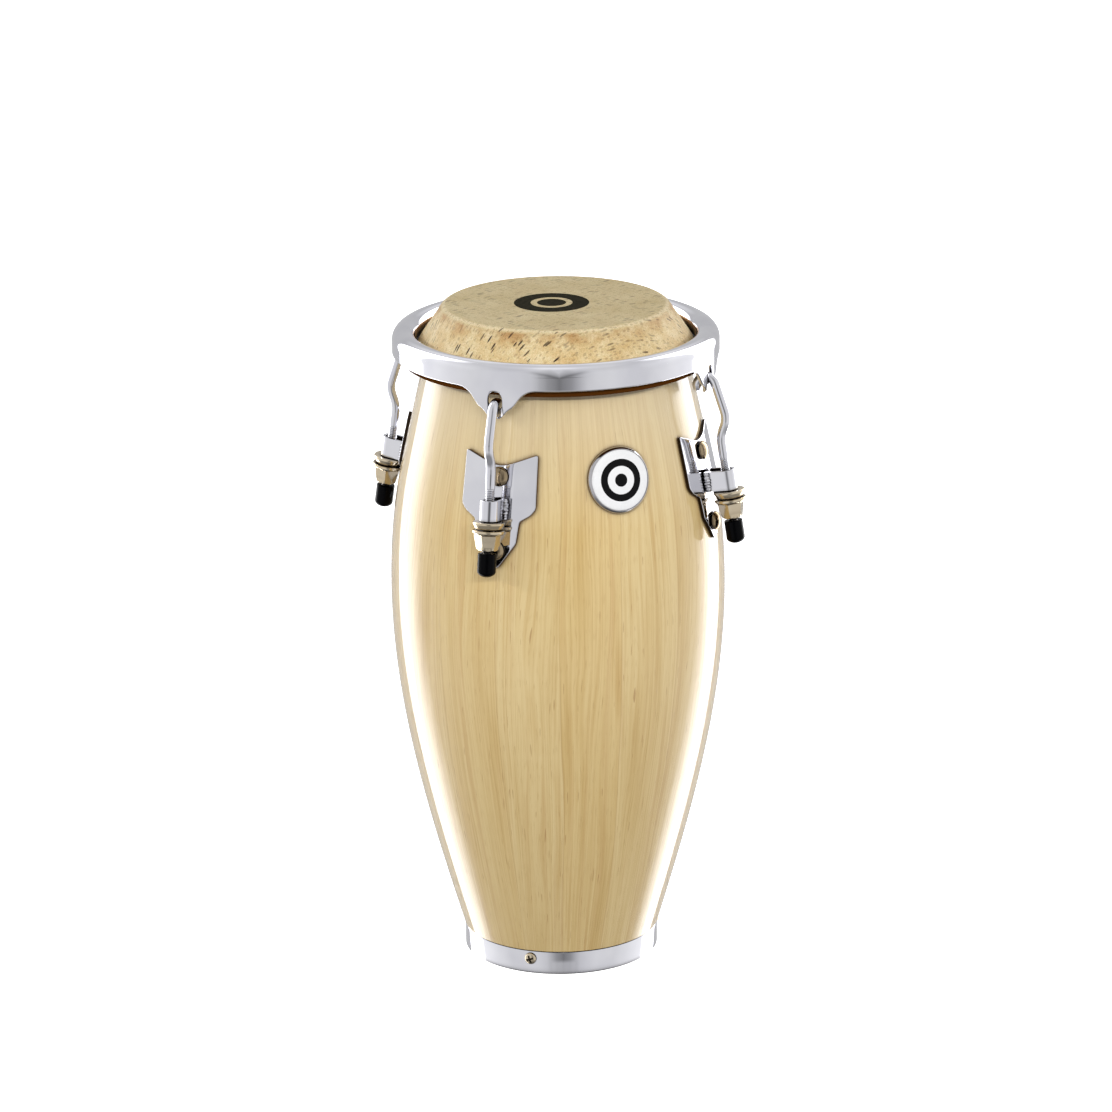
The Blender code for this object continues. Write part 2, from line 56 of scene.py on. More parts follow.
# Shell: height, outer radius and dr/dz at the foot, the belly, the shoulder and the neck.
SHELL_KNOTS = ((10.0, 41.0, 0.300), (160.0, 69.65, 0.0), (210.0, 64.95, -0.205), (267.1, 52.7, -0.185))
WALL = 9.0
BEARING_RADIUS = 44.9
BEARING_HEIGHT = 278.2
STAVES = 16
SEAM_TURN = -90.5  # one of the glue lines between staves
TURNED_STEPS = 288

# Head and its hoop.
HEAD_HEIGHT = 280.0
HEAD_RADIUS = 46.4
SKIN = 1.5
TUCK = 1.2
CONE_RADIUS = 56.8
CONE_HEIGHT = 264.4
FLESH_INNER = 57.6
FLESH_OUTER = 62.2
FLESH_BOTTOM = 258.4
FLESH_TOP = 263.0
PRINT_RADIUS = 15.5
PRINT_RING = (6.0, 8.6)
PRINT_OFF = (-1.45, 0.63)  # the print isn't quite in the middle of the head
HAIR_TURN = 12.0  # the way the hair lay on the hide
TUCK_SHADE = (261.5, 263.5)  # painted shade: the hide is coloured dark brown below these heights, where it tucks under the rim

# Rim: a pressed channel with a rolled bead and four slotted ears.
RIM_RADIUS = 67.5
RIM_SHEET = 1.6
BEAD_CENTRE = (62.4, 265.4)
BEAD_RADIUS = 5.1
LIP_RADIUS = 57.8
LIP_BOTTOM = 263.3
LIP_SHADE_RADIUS = 58.6  # painted reflection and shade: the plating inside the lip is coloured brown, up to this height, for the shaded hide it mirrors
LIP_SHADE_HEIGHT = 267.6
# Lower edge of an ear: degrees from its centre, and height.
EAR_EDGE = (
    (0.0, 247.8),
    (1.5, 247.8),
    (2.4, 248.7),
    (4.5, 251.6),
    (6.7, 253.3),
    (8.1, 255.9),
    (9.6, 258.0),
    (11.8, 259.6),
    (13.9, 260.1),
)
SLOT_HALF_WIDTH = 3.1
SLOT_LOW = 251.6
SLOT_HIGH = 259.3
TONGUE_DEPTH = 0.8  # the lip under the slot is pressed in by this much

# Lugs.
LUGS = {"front_right": -45.0, "back_right": 45.0, "back_left": 135.0, "front_left": 225.0}
ROD_RADIUS = 2.0
ROD_LEAN = math.radians(8.8)
RECEIVER_RADIUS = 74.76
RECEIVER_HEIGHT = 212.0
HOOK_RADIUS = 3.75
HOOK_CENTRE = (66.2, 250.55)
HOOK_TIP = 248.5
HOOK_ROOM = 0.7  # the short leg stands this much further in, so it clears the ear when the hoop comes down
HOOK_LEAN = 19.2
ROD_END = -25.5
JOG_LOW = (0.0, 17.7)
JOG_HIGH = (3.84, 25.2)
THREAD_TOP = 9.2
THREAD_PITCH = 0.7
THREAD_DEPTH = 0.36
RECEIVER_TOP = 4.0
RECEIVER_BOTTOM = -4.4
STRAP_RADIUS = 3.85
STRAP_SHEET = 1.2
STRAP_LEG = -7.9
WASHER_TOP = -4.7
WASHER_BOTTOM = -7.6
FLANGE_RADIUS = 6.6
NUT_TOP = -8.0
NUT_BOTTOM = -16.3
NUT_TURNS = (8.0, 41.0, 13.0, 26.0)  # each nut stopped at its own angle
CAP_TOP = -17.6
CAP_BOTTOM = -27.3
CAP_RADIUS = 3.8
CAP_CROWN = 2.4
BORE = ROD_RADIUS + 0.3
BOLTS = {"upper": 222.7, "lower": 193.3}
BOLT_RADIUS = 2.0
BOLT_HEAD = 4.0
SEAT_DROP = 1.0
PLATE = 1.4
PLATE_GAP = 0.3
PLATE_FOLD = 6.2  # the wings bend back from here
EDGE_FACING = 0.55  # a face of the plate that faces out less than this is its cut edge
PLATE_HALF = (
    (0.0, 227.1),
    (3.0, 227.4),
    (15.2, 232.0),
    (15.7, 210.5),
    (13.8, 208.0),
    (9.4, 205.3),
    (8.4, 196.4),
    (1.4, 186.4),
    (0.0, 186.0),
)

# Foot.
RING_RADIUS = 40.8
RING_HEIGHT = 9.9
RING_WALL = 1.6
RING_FLANGE = 33.0
RING_FLOOR = 1.5
SCREW_HEIGHT = 6.6
SCREW_TURN = -132.1
SCREWS = 3
SCREW_HEAD = 2.5
SCREW_DOME = 1.3
CROSS_REACH = 1.6
SCREW_SHANK = 1.3
SCREW_LENGTH = 7.5

BADGE_TURN = -90.0
BADGE_HEIGHT = 220.6
BADGE_RADIUS = 13.3
BADGE_FACE = 12.0
BADGE_RING = (5.6, 8.4)
BADGE_DOT = 2.6

# Camera and studio.
VIEW_TURN = -113.5  # the camera stands on this side
CAMERA_DISTANCE = 2.0328
CAMERA_HEIGHT = 0.7985
CAMERA_PITCH = math.radians(17.155)
CAMERA_ROLL = -0.0098
CAMERA_YAW = 0.00038
CAMERA_LENS = 165.17
SENSOR = 36.0
FLOOR_GLOW = 1.0
SOFTBOX = 5.0
# What gloss sees level with the drum: share of half a turn from the camera, and brightness.
WALLS = (
    (0.0, 0.24),
    (0.045, 0.35),
    (0.087, 0.60),
    (0.11, 0.71),
    (0.15, 0.77),
    (0.22, 0.81),
    (0.35, 0.79),
    (0.46, 0.92),
    (0.60, 1.12),
    (0.69, SOFTBOX),
    (0.793, SOFTBOX),
    (0.808, 0.58),
)
# A dark fold in front climbs by this much with this power of the turn, between these two heights.
CREASE = (2.3, 0.6, -0.12, 0.60)
UNDERFOOT = 0.12  # what gloss sees when it looks steeply down
CREST_BEHIND = 1.05  # a bright card high up behind the drum
BELOW = 0.30
FILL_FRONT = 0.14
FILL_BACK = 0.85
FILL_TOP = 0.62
FILL_FLOOR = 0.56
STRIP_STEP = 35.0
STRIP_DISTANCE = 2.0
STRIP_HEIGHT = 0.05
STRIP_POWER = (10.0, 5.5, 18.6, 5.5, 10.0)
STRIP_RISE = math.radians(26.0)


# ---------------------------------------------------------------- shapes


def shell_curve(height):
    """Outer radius of the shell and dr/dz at a height: cubic pieces between the knots."""
    last = len(SHELL_KNOTS) - 2
    index = min(last, max(0, sum(height > knot[0] for knot in SHELL_KNOTS[1:])))
    low, high = SHELL_KNOTS[index], SHELL_KNOTS[index + 1]
    span = high[0] - low[0]
    t = (height - low[0]) / span
    radius = (
        low[1] * (2 * t**3 - 3 * t**2 + 1)
        + high[1] * (3 * t**2 - 2 * t**3)
        + span * (low[2] * (t**3 - 2 * t**2 + t) + high[2] * (t**3 - t**2))
    )
    slope = (
        (low[1] - high[1]) * (6 * t**2 - 6 * t) / span
        + low[2] * (3 * t**2 - 4 * t + 1)
        + high[2] * (3 * t**2 - 2 * t)
    )
    return radius, slope


def above_shell(height, depth):
    """(radius, height) of a point this far out from the shell's surface."""
    radius, slope = shell_curve(height)
    lean = math.atan(-slope)
    return radius + depth * math.cos(lean), height + depth * math.sin(lean)


def arc(centre, radius, start, end, count):
    """Points on an arc, from one angle to the other in degrees."""
    angles = np.radians(np.linspace(start, end, count))
    return [(centre[0] + radius * math.cos(a), centre[1] + radius * math.sin(a)) for a in angles]


def filleted(points, cut, steps=4, closed=True):
    """A line of 2-D points with its corners rounded, starting this far from each corner."""
    points = [Vector(point) for point in points]
    count = len(points)
    made = []
    for i, corner in enumerate(points):
        if not closed and i in (0, count - 1):
            made.append(corner)
            continue
        before = points[i - 1] - corner
        after = points[(i + 1) % count] - corner
        start = corner + before.normalized() * min(cut, before.length * 0.45)
        end = corner + after.normalized() * min(cut, after.length * 0.45)
        for t in np.linspace(0.0, 1.0, steps + 1):
            made.append((1 - t) ** 2 * start + 2 * t * (1 - t) * corner + t**2 * end)
    return [tuple(point) for point in made]


def spaced(points, length):
    """A 2-D line with points added so that none are further apart than this."""
    made = [points[0]]
    for start, end in zip(points, points[1:]):
        pieces = max(1, math.ceil(math.dist(start, end) / length))
        for i in range(1, pieces + 1):
            t = i / pieces
            made.append((start[0] + (end[0] - start[0]) * t, start[1] + (end[1] - start[1]) * t))
    return made


def band(first, second):
    """Faces between two rings of point numbers; a ring of one is a pole."""
    count = max(len(first), len(second))
    faces = []
    for i in range(count):
        j = (i + 1) % count
        corners = (
            first[i % len(first)],
            second[i % len(second)],
            second[j % len(second)],
            first[j % len(first)],
        )
        corners = list(dict.fromkeys(corners))
        if len(corners) > 2:
            faces.append(corners)
    return faces


def loft(rings, closed=False):
    """(points, faces) of a skin over rings of points; a ring of one point closes an end."""
    points, numbers, faces = [], [], []
    for ring in rings:
        numbers.append(range(len(points), len(points) + len(ring)))
        points += [tuple(point) for point in ring]
    for first, second in zip(numbers, numbers[1:]):
        faces += band(first, second)
    if closed:
        faces += band(numbers[-1], numbers[0])
    return points, faces


def lathe(profile, steps=TURNED_STEPS):
    """(points, faces) of a profile of (radius, height) turned about Z."""
    angles = np.linspace(0.0, 2 * math.pi, steps, endpoint=False)
    rings = []
    for radius, height in profile:
        if radius < 1e-6:
            rings.append([(0.0, 0.0, height)])
        else:
            rings.append([(radius * math.cos(a), radius * math.sin(a), height) for a in angles])
    return loft(rings, closed=len(rings[0]) > 1)


def mesh_of(name, shape, matrix=None):
    """A mesh of (points, faces) in millimetres, with its faces turned outwards."""
    points, faces = shape
    mesh = bpy.data.meshes.new(name)
    mesh.from_pydata([tuple(point) for point in points], [], [list(face) for face in faces])
    bm = bmesh.new()
    bm.from_mesh(mesh)
    bmesh.ops.remove_doubles(bm, verts=bm.verts, dist=0.0005)
    bmesh.ops.recalc_face_normals(bm, faces=bm.faces)
    bm.to_mesh(mesh)
    bm.free()
    if matrix is not None:
        mesh.transform(matrix)
    return mesh


def bevelled(mesh, width, segments=2, angle=50.0):
    """Rounds the edges of a mesh that are sharper than this angle."""
    bm = bmesh.new()
    bm.from_mesh(mesh)
    limit = math.radians(angle)
    edges = [e for e in bm.edges if len(e.link_faces) == 2 and e.calc_face_angle() > limit]
    bmesh.ops.bevel(
        bm,
        geom=edges,
        offset=width,
        segments=segments,
        profile=0.5,
        affect="EDGES",
        clamp_overlap=True,
    )
    bm.to_mesh(mesh)
    bm.free()
    return mesh


def sliced(mesh, across, up):
    """Cuts a mesh along planes of X and Y, so that it can bend there."""
    bm = bmesh.new()
    bm.from_mesh(mesh)
    for axis, places in (((1, 0, 0), across), ((0, 1, 0), up)):
        for at in places:
            everything = bm.verts[:] + bm.edges[:] + bm.faces[:]
            bmesh.ops.bisect_plane(bm, geom=everything, plane_co=Vector(axis) * at, plane_no=axis)
    bm.to_mesh(mesh)
    bm.free()
    return mesh


def cut_from(mesh, others):
    """The mesh with others cut from it."""
    obj = bpy.data.objects.new("whole", mesh)
    bpy.context.scene.collection.objects.link(obj)
    tools = []
    for other in others:
        tool = bpy.data.objects.new("tool", other)
        bpy.context.scene.collection.objects.link(tool)
        tools.append(tool)
        boolean = obj.modifiers.new("cut", "BOOLEAN")
        boolean.operation = "DIFFERENCE"
        boolean.object = tool
    bpy.context.view_layer.update()
    graph = bpy.context.evaluated_depsgraph_get()
    made = bpy.data.meshes.new_from_object(obj.evaluated_get(graph))
    for used in [obj] + tools:
        bpy.data.objects.remove(used)
    return made


def turn_z(degrees):
    return Matrix.Rotation(math.radians(degrees), 4, "Z")


def bolt_frame(height, turn):
    """A frame on the shell's surface whose Z points straight out of it."""
    radius, slope = shell_curve(height)
    out = Matrix.Rotation(math.radians(90.0) - math.atan(-slope), 4, "Y")
    return turn_z(turn) @ Matrix.Translation((radius, 0.0, height)) @ out


def rod_frame(turn):
    """A frame on a hook rod's axis at the middle of its receiver; its Z is up along the rod."""
    centre = Matrix.Translation((RECEIVER_RADIUS, 0.0, RECEIVER_HEIGHT))
    return turn_z(turn) @ centre @ Matrix.Rotation(-ROD_LEAN, 4, "Y")


def piece(name, mesh, finishes, body, stands_for, sharp=35.0, weighted=False):
    """A finished piece of the drum: one named object that rides on a body."""
    mesh.name = name
    mesh.transform(Matrix.Scale(MM, 4))
    for finish in finishes if isinstance(finishes, (list, tuple)) else [finishes]:
        mesh.materials.append(finish)
    mesh.shade_smooth()
    mesh.set_sharp_from_angle(angle=math.radians(sharp))
    obj = bpy.data.objects.new(name, mesh)
    bpy.context.scene.collection.objects.link(obj)
    if weighted:
        normals = obj.modifiers.new("flat_faces", "WEIGHTED_NORMAL")
        normals.keep_sharp = True
        normals.weight = 90
    if body is not None:
        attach(obj, body)
    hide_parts(*stands_for)
    return obj


# ---------------------------------------------------------------- materials


def srgb(red, green, blue):
    """A colour of 0 to 255 as the linear colour that the shaders take."""
    share = np.array((red, green, blue)) / 255.0
    linear = np.where(share <= 0.04045, share / 12.92, ((share + 0.055) / 1.055) ** 2.4)
    return (*[float(value) for value in linear], 1.0)


class Recipe:
    """The node tree of a material or of the world, built one node at a time."""

    def __init__(self, owner, shader="Principled BSDF"):
        owner.use_nodes = True
        self.owner = owner
        self.tree = owner.node_tree
        self.shader = self.tree.nodes[shader]

    def add(self, kind, settings=None, **inputs):
        """Adds a node; an input takes a value or another node's output. Returns its first output."""
        node = self.tree.nodes.new("ShaderNode" + kind)
        for name, value in (settings or {}).items():
            setattr(node, name, value)
        for name, value in inputs.items():
            self.feed(node.inputs[name.replace("_", " ")], value)
        return node.outputs[0]

    def feed(self, socket, value):
        if isinstance(value, bpy.types.NodeSocket):
            self.tree.links.new(value, socket)
        else:
            socket.default_value = value

    def math(self, operation, *values):
        node = self.tree.nodes.new("ShaderNodeMath")
        node.operation = operation
        for socket, value in zip(node.inputs, values):
            self.feed(socket, value)
        return node.outputs[0]

    def millimetres(self):
        """The place on the drum, in millimetres from its origin."""
        place = self.tree.nodes.new("ShaderNodeTexCoord").outputs["Object"]
        node = self.tree.nodes.new("ShaderNodeVectorMath")
        node.operation = "SCALE"
        self.feed(node.inputs[0], place)
        node.inputs["Scale"].default_value = 1000.0
        return node.outputs[0]

    def split(self, vector):
        node = self.tree.nodes.new("ShaderNodeSeparateXYZ")
        self.feed(node.inputs[0], vector)
        return node.outputs

    def joined(self, x, y, z):
        return self.add("CombineXYZ", X=x, Y=y, Z=z)

    def clouds(self, vector, scale, detail=2.0, roughness=0.5, distortion=0.0):
        """Noise from 0 to 1, with this many features to the millimetre."""
        settings = {"noise_dimensions": "3D"}
        return self.add(
            "TexNoise",
            settings,
            Vector=vector,
            Scale=scale,
            Detail=detail,
            Roughness=roughness,
            Distortion=distortion,
        )

    def ramp(self, value, *stops):
        """A colour for each share of the way: (share, colour)."""
        node = self.tree.nodes.new("ShaderNodeValToRGB")
        elements = node.color_ramp.elements
        while len(elements) < len(stops):
            elements.new(1.0)
        for element, (share, colour) in zip(elements, stops):
            element.position = share
            element.color = colour if isinstance(colour, tuple) else (colour, colour, colour, 1.0)
        self.feed(node.inputs[0], value)
        return node.outputs[0]

    def blended(self, share, first, second, how="MIX"):
        node = self.tree.nodes.new("ShaderNodeMix")
        node.data_type = "RGBA"
        node.blend_type = how
        self.feed(node.inputs[0], share)
        self.feed(node.inputs[6], first)
        self.feed(node.inputs[7], second)
        return node.outputs[2]

    def ranged(self, value, low, high, to_low, to_high):
        node = self.tree.nodes.new("ShaderNodeMapRange")
        for socket, given in zip(node.inputs, (value, low, high, to_low, to_high)):
            self.feed(socket, given)
        return node.outputs[0]

    def openness(self, reach):
        """1 in the open and 0 deep in a crevice, looking this many millimetres round about."""
        node = self.tree.nodes.new("ShaderNodeAmbientOcclusion")
        node.samples = 8
        self.feed(node.inputs["Distance"], reach * MM)
        return node.outputs["AO"]

    def bump(self, height, depth):
        """Roughens the surface: depth is in millimetres."""
        return self.add("Bump", Height=height, Strength=1.0, Distance=depth * MM)

    def finish(self, **sockets):
        for name, value in sockets.items():
            self.feed(self.shader.inputs[name.replace("_", " ")], value)
        return self.owner


def recipe(name):
    return Recipe(bpy.data.materials.new(name))


def wood_finish():
    """Clear-lacquered pale rubberwood: glued staves with straight grain, streaks and flecks; painted paler
    towards the neck for light, and painted darker in crevices for shade.
    """
    r = recipe("lacquered_rubberwood")
    place = r.millimetres()
    x, y, z = r.split(place)
    turn = r.math("ARCTAN2", y, x)
    sway = r.clouds(r.joined(0.0, r.math("MULTIPLY", turn, 3.0), r.math("MULTIPLY", z, 0.006)), 1.0)
    turn_share = r.math("MULTIPLY", turn, STAVES / (2 * math.pi))
    start = r.math("ADD", turn_share, -SEAM_TURN * STAVES / 360.0 + STAVES)
    stave = r.math("ADD", start, r.math("MULTIPLY", r.math("SUBTRACT", sway, 0.5), 0.5))
    number = r.math("FLOOR", stave)
    within = r.math("FRACT", stave)
    wrapped = r.math("MODULO", number, float(STAVES))
    chance = r.add("TexWhiteNoise", {"noise_dimensions": "1D"}, W=wrapped)
    other_chance = r.add("TexWhiteNoise", {"noise_dimensions": "1D"}, W=r.math("ADD", wrapped, 31.7))

    across = r.math("ADD", r.math("MULTIPLY", stave, 25.0), r.math("MULTIPLY", chance, 400.0))
    drift = r.math("MULTIPLY", r.math("SUBTRACT", other_chance, 0.5), 0.07)
    leaning = r.math("ADD", across, r.math("MULTIPLY", z, drift))
    along = r.math("ADD", z, r.math("MULTIPLY", other_chance, 900.0))

    figure_place = r.joined(r.math("MULTIPLY", leaning, 0.10), r.math("MULTIPLY", along, 0.006), number)
    figure = r.clouds(figure_place, 1.0, 3.0, 0.55, 0.6)
    fibre_place = r.joined(r.math("MULTIPLY", leaning, 1.3), r.math("MULTIPLY", along, 0.009), number)
    fibre = r.clouds(fibre_place, 1.0, 4.0, 0.72)
    vessel_place = r.joined(r.math("MULTIPLY", leaning, 3.2), r.math("MULTIPLY", along, 0.14), number)
    vessel = r.clouds(vessel_place, 1.0, 1.0, 0.5)
    fleck_place = r.joined(r.math("MULTIPLY", leaning, 1.9), r.math("MULTIPLY", along, 0.10), 7.0)
    fleck = r.clouds(fleck_place, 1.0, 0.0)

    colour = r.ramp(
        figure,
        (0.30, srgb(201, 174, 117)),
        (0.45, srgb(212, 188, 135)),
        (0.58, srgb(217, 195, 144)),
        (0.72, srgb(206, 179, 124)),
    )
    fibres = r.ramp(
        fibre,
        (0.30, srgb(230, 217, 195)),
        (0.50, srgb(250, 247, 241)),
        (0.70, srgb(255, 255, 255)),
    )
    colour = r.blended(1.0, colour, fibres, "MULTIPLY")
    streak_place = r.joined(r.math("MULTIPLY", leaning, 0.33), r.math("MULTIPLY", along, 0.0045), 3.0)
    streak = r.ramp(r.clouds(streak_place, 1.0, 3.0, 0.6, 0.3), (0.54, 0.0), (0.66, 1.0))
    colour = r.blended(r.math("MULTIPLY", streak, 0.34), colour, srgb(186, 146, 92))
    vessels = r.ramp(vessel, (0.60, 0.0), (0.72, 1.0))
    colour = r.blended(r.math("MULTIPLY", vessels, 0.30), colour, srgb(176, 138, 82))
    flecks = r.ramp(fleck, (0.765, 0.0), (0.80, 1.0))
    colour = r.blended(r.math("MULTIPLY", flecks, 0.55), colour, srgb(150, 104, 52))
    tint = r.ramp(chance, (0.0, srgb(250, 248, 244)), (0.5, srgb(255, 255, 255)), (1.0, srgb(253, 250, 243)))
    colour = r.blended(1.0, colour, tint, "MULTIPLY")
    from_seam = r.math("ABSOLUTE", r.math("SUBTRACT", within, 0.5))
    seam = r.ramp(from_seam, (0.490, 0.0), (0.4985, 1.0))
    colour = r.blended(r.math("MULTIPLY", seam, 0.45), colour, srgb(168, 128, 74))

    # painted light: the wood is painted paler towards the neck, for the brighter light on the upper shell
    colour = r.blended(r.ranged(z, 200.0, 245.0, 0.0, 0.38), colour, srgb(219, 208, 182))
    # painted shade: the wood is darkened to brown round the plates, badge and bolts, and in other crevices
    # that ambient occlusion finds
    painted_shade = r.ramp(r.openness(2.4), (0.55, 1.0), (0.90, 0.0))
    colour = r.blended(r.math("MULTIPLY", painted_shade, 0.95), colour, srgb(78, 50, 18))

    relief = r.math("ADD", r.math("MULTIPLY", fibre, 0.6), r.math("MULTIPLY", vessels, -0.5))
    rough = r.ranged(fibre, 0.3, 0.7, 0.5, 0.38)
    return r.finish(
        Base_Color=colour,
        Roughness=rough,
        Normal=r.bump(relief, 0.05),
        Specular_IOR_Level=0.3,
        Coat_Weight=1.0,
        Coat_Roughness=0.03,
        Coat_IOR=1.5,
    )


def plated(name, dark, light, rough, relief, wave=0.25, shade_colour=srgb(38, 32, 26), reach=2.5):
    """Bright plating on steel: a slow change of tone, faint haze, and painted shade down in the crevices."""
    r = recipe(name)
    place = r.millimetres()
    tone = r.clouds(place, 0.06, 2.0)
    haze = r.clouds(place, 0.9, 5.0, 0.6)
    ripple = r.clouds(place, wave, 1.0)
    clean = r.ramp(tone, (0.35, dark), (0.65, light))
    # painted shade: the plating is darkened where ambient occlusion finds crevices and close contacts
    painted_shade = r.ramp(r.openness(reach), (0.34, 1.0), (0.82, 0.0))
    return r.finish(
        Base_Color=r.blended(r.math("MULTIPLY", painted_shade, 0.9), clean, shade_colour),
        Metallic=1.0,
        Roughness=r.ranged(haze, 0.3, 0.7, rough[0], rough[1]),
        Normal=r.bump(ripple, relief),
    )


def hide_place(r):
    """The place on the flattened hide in millimetres: round the shoulder it runs on down the cone."""
    x, y, z = r.split(r.millimetres())
    radius = r.math("SQRT", r.math("ADD", r.math("MULTIPLY", x, x), r.math("MULTIPLY", y, y)))
    drop = r.math("SUBTRACT", HEAD_HEIGHT, z)
    stretch = r.math("DIVIDE", r.math("MULTIPLY", drop, 0.45), r.math("ADD", radius, 1.0))
    stretch = r.math("ADD", 1.0, stretch)
    turn = math.radians(HAIR_TURN)
    along = r.math("ADD", r.math("MULTIPLY", x, math.cos(turn)), r.math("MULTIPLY", y, math.sin(turn)))
    across = r.math("SUBTRACT", r.math("MULTIPLY", y, math.cos(turn)), r.math("MULTIPLY", x, math.sin(turn)))
    return radius, z, r.math("MULTIPLY", along, stretch), r.math("MULTIPLY", across, stretch)


def hair_roots(r, along, across, spacing, slender, size):
    """1 on short dashes that lie the way of the hair, one to a cell and of chance size."""
    place = r.joined(r.math("MULTIPLY", along, 1.0 / slender), across, 0.0)
    node = r.tree.nodes.new("ShaderNodeTexVoronoi")
    node.voronoi_dimensions = "2D"
    r.feed(node.inputs["Vector"], place)
    r.feed(node.inputs["Scale"], 1.0 / spacing)
    chance = r.split(node.outputs["Color"])[0]
    reach = r.math("MULTIPLY", r.ranged(chance, 0.42, 0.72, 0.0, 1.0), size / spacing)
    inner = r.math("MULTIPLY", reach, 0.72)
    return r.ranged(node.outputs["Distance"], inner, r.math("ADD", reach, 0.0001), 1.0, 0.0)


def skin_finish():
    """Dressed natural skin: mottled tan, dark hair roots in short dashes, and a fine grain; a painted
    highlight along the shoulder, and painted shade on the hide tucked under the rim.
    """
    r = recipe("natural_skin")
    place = r.millimetres()
    radius, z, along, across = hide_place(r)
    mottle = r.clouds(place, 0.07, 4.0, 0.6)
    grain = r.clouds(place, 2.2, 3.0, 0.6)
    cone = r.ranged(radius, HEAD_RADIUS - 1.5, HEAD_RADIUS + 2.5, 0.0, 1.0)
    patches = r.clouds(place, 0.13, 3.0, 0.6)
    top = r.ramp(mottle, (0.3, srgb(188, 171, 129)), (0.7, srgb(203, 189, 151)))
    side = r.ramp(
        patches,
        (0.32, srgb(203, 176, 128)),
        (0.5, srgb(212, 191, 147)),
        (0.68, srgb(224, 209, 172)),
    )
    colour = r.blended(cone, top, side)
    from_edge = r.math("SUBTRACT", radius, HEAD_RADIUS)
    worn = r.ramp(r.math("MULTIPLY", from_edge, 0.1), (0.02, 0.0), (0.12, 1.0), (0.42, 0.0))
    worn_here = r.math("MULTIPLY", worn, r.ranged(patches, 0.35, 0.6, 0.7, 0.15))
    colour = r.blended(worn_here, colour, srgb(166, 122, 72))
    # painted highlight: a pale line along the shoulder's crest
    crest = r.ranged(r.math("ABSOLUTE", r.math("ADD", from_edge, 0.4)), 0.3, 1.1, 0.45, 0.0)
    colour = r.blended(crest, colour, srgb(232, 219, 188))
    speckle = r.ramp(
        grain,
        (0.36, srgb(224, 216, 200)),
        (0.5, srgb(244, 241, 234)),
        (0.64, srgb(255, 255, 255)),
    )
    colour = r.blended(1.0, colour, speckle, "MULTIPLY")

    sparse = r.ranged(r.clouds(place, 0.06, 1.0), 0.35, 0.6, 0.25, 1.0)
    dashes = hair_roots(r, along, across, 1.8, 4.4, 0.44)
    pores = hair_roots(r, along, across, 1.2, 2.2, 0.42)
    dash = r.math("MULTIPLY", r.math("MULTIPLY", dashes, sparse), r.ranged(cone, 0.0, 1.0, 0.7, 1.0))
    colour = r.blended(r.math("MULTIPLY", pores, 0.38), colour, srgb(118, 90, 56))
    colour = r.blended(r.math("MULTIPLY", dash, 0.97), colour, srgb(44, 28, 16))
    # painted shade: the tuck under the rim is coloured dark brown and loses its gloss
    tucked = r.ranged(z, TUCK_SHADE[0], TUCK_SHADE[1], 1.0, 0.0)
    colour = r.blended(tucked, colour, srgb(80, 44, 12))
    relief = r.math("SUBTRACT", r.math("MULTIPLY", grain, 0.5), r.math("MULTIPLY", dash, 0.6))
    return r.finish(
        Base_Color=colour,
        Roughness=r.ranged(grain, 0.3, 0.7, 0.62, 0.48),
        Normal=r.bump(relief, 0.12),
        Specular_IOR_Level=r.ranged(tucked, 0.0, 1.0, 0.35, 0.0),
        Subsurface_Weight=0.06,
        Subsurface_Scale=0.0015,
    )


def print_finish():
    """Dark ink on the skin, worn a little thin by the grain."""
    r = recipe("printed_ink")
    place = r.millimetres()
    grain = r.clouds(place, 1.3, 3.0, 0.6)
    wear = r.clouds(place, 0.5, 4.0, 0.7)
    colour = r.ramp(wear, (0.3, srgb(38, 37, 31)), (0.62, srgb(50, 48, 40)), (0.8, srgb(90, 84, 66)))
    return r.finish(
        Base_Color=colour,
        Roughness=r.ranged(grain, 0.3, 0.7, 0.6, 0.5),
        Normal=r.bump(grain, 0.06),
        Specular_IOR_Level=0.0,
    )


def rubber_finish():
    r = recipe("black_rubber")
    place = r.millimetres()
    dust = r.clouds(place, 0.8, 4.0, 0.7)
    return r.finish(
        Base_Color=r.ramp(dust, (0.35, srgb(0, 0, 1)), (0.75, srgb(3, 3, 4))),
        Roughness=r.ranged(dust, 0.3, 0.7, 0.16, 0.24),
        Normal=r.bump(dust, 0.01),
        Specular_IOR_Level=0.06,
    )


def enamel_finish(name, dark, light, gloss=0.6):
    """Gloss enamel under a clear dome, with a trace of unevenness."""
    r = recipe(name)
    place = r.millimetres()
    tone = r.clouds(place, 0.2, 3.0)
    orange_peel = r.clouds(place, 1.2, 1.0)
    return r.finish(
        Base_Color=r.ramp(tone, (0.3, dark), (0.7, light)),
        Roughness=r.ranged(orange_peel, 0.3, 0.7, 0.22, 0.30),
        Normal=r.bump(orange_peel, 0.008),
        Specular_IOR_Level=0.5 * gloss,
        Coat_Weight=gloss,
        Coat_Roughness=0.05,
    )


# ---------------------------------------------------------------- shell and head


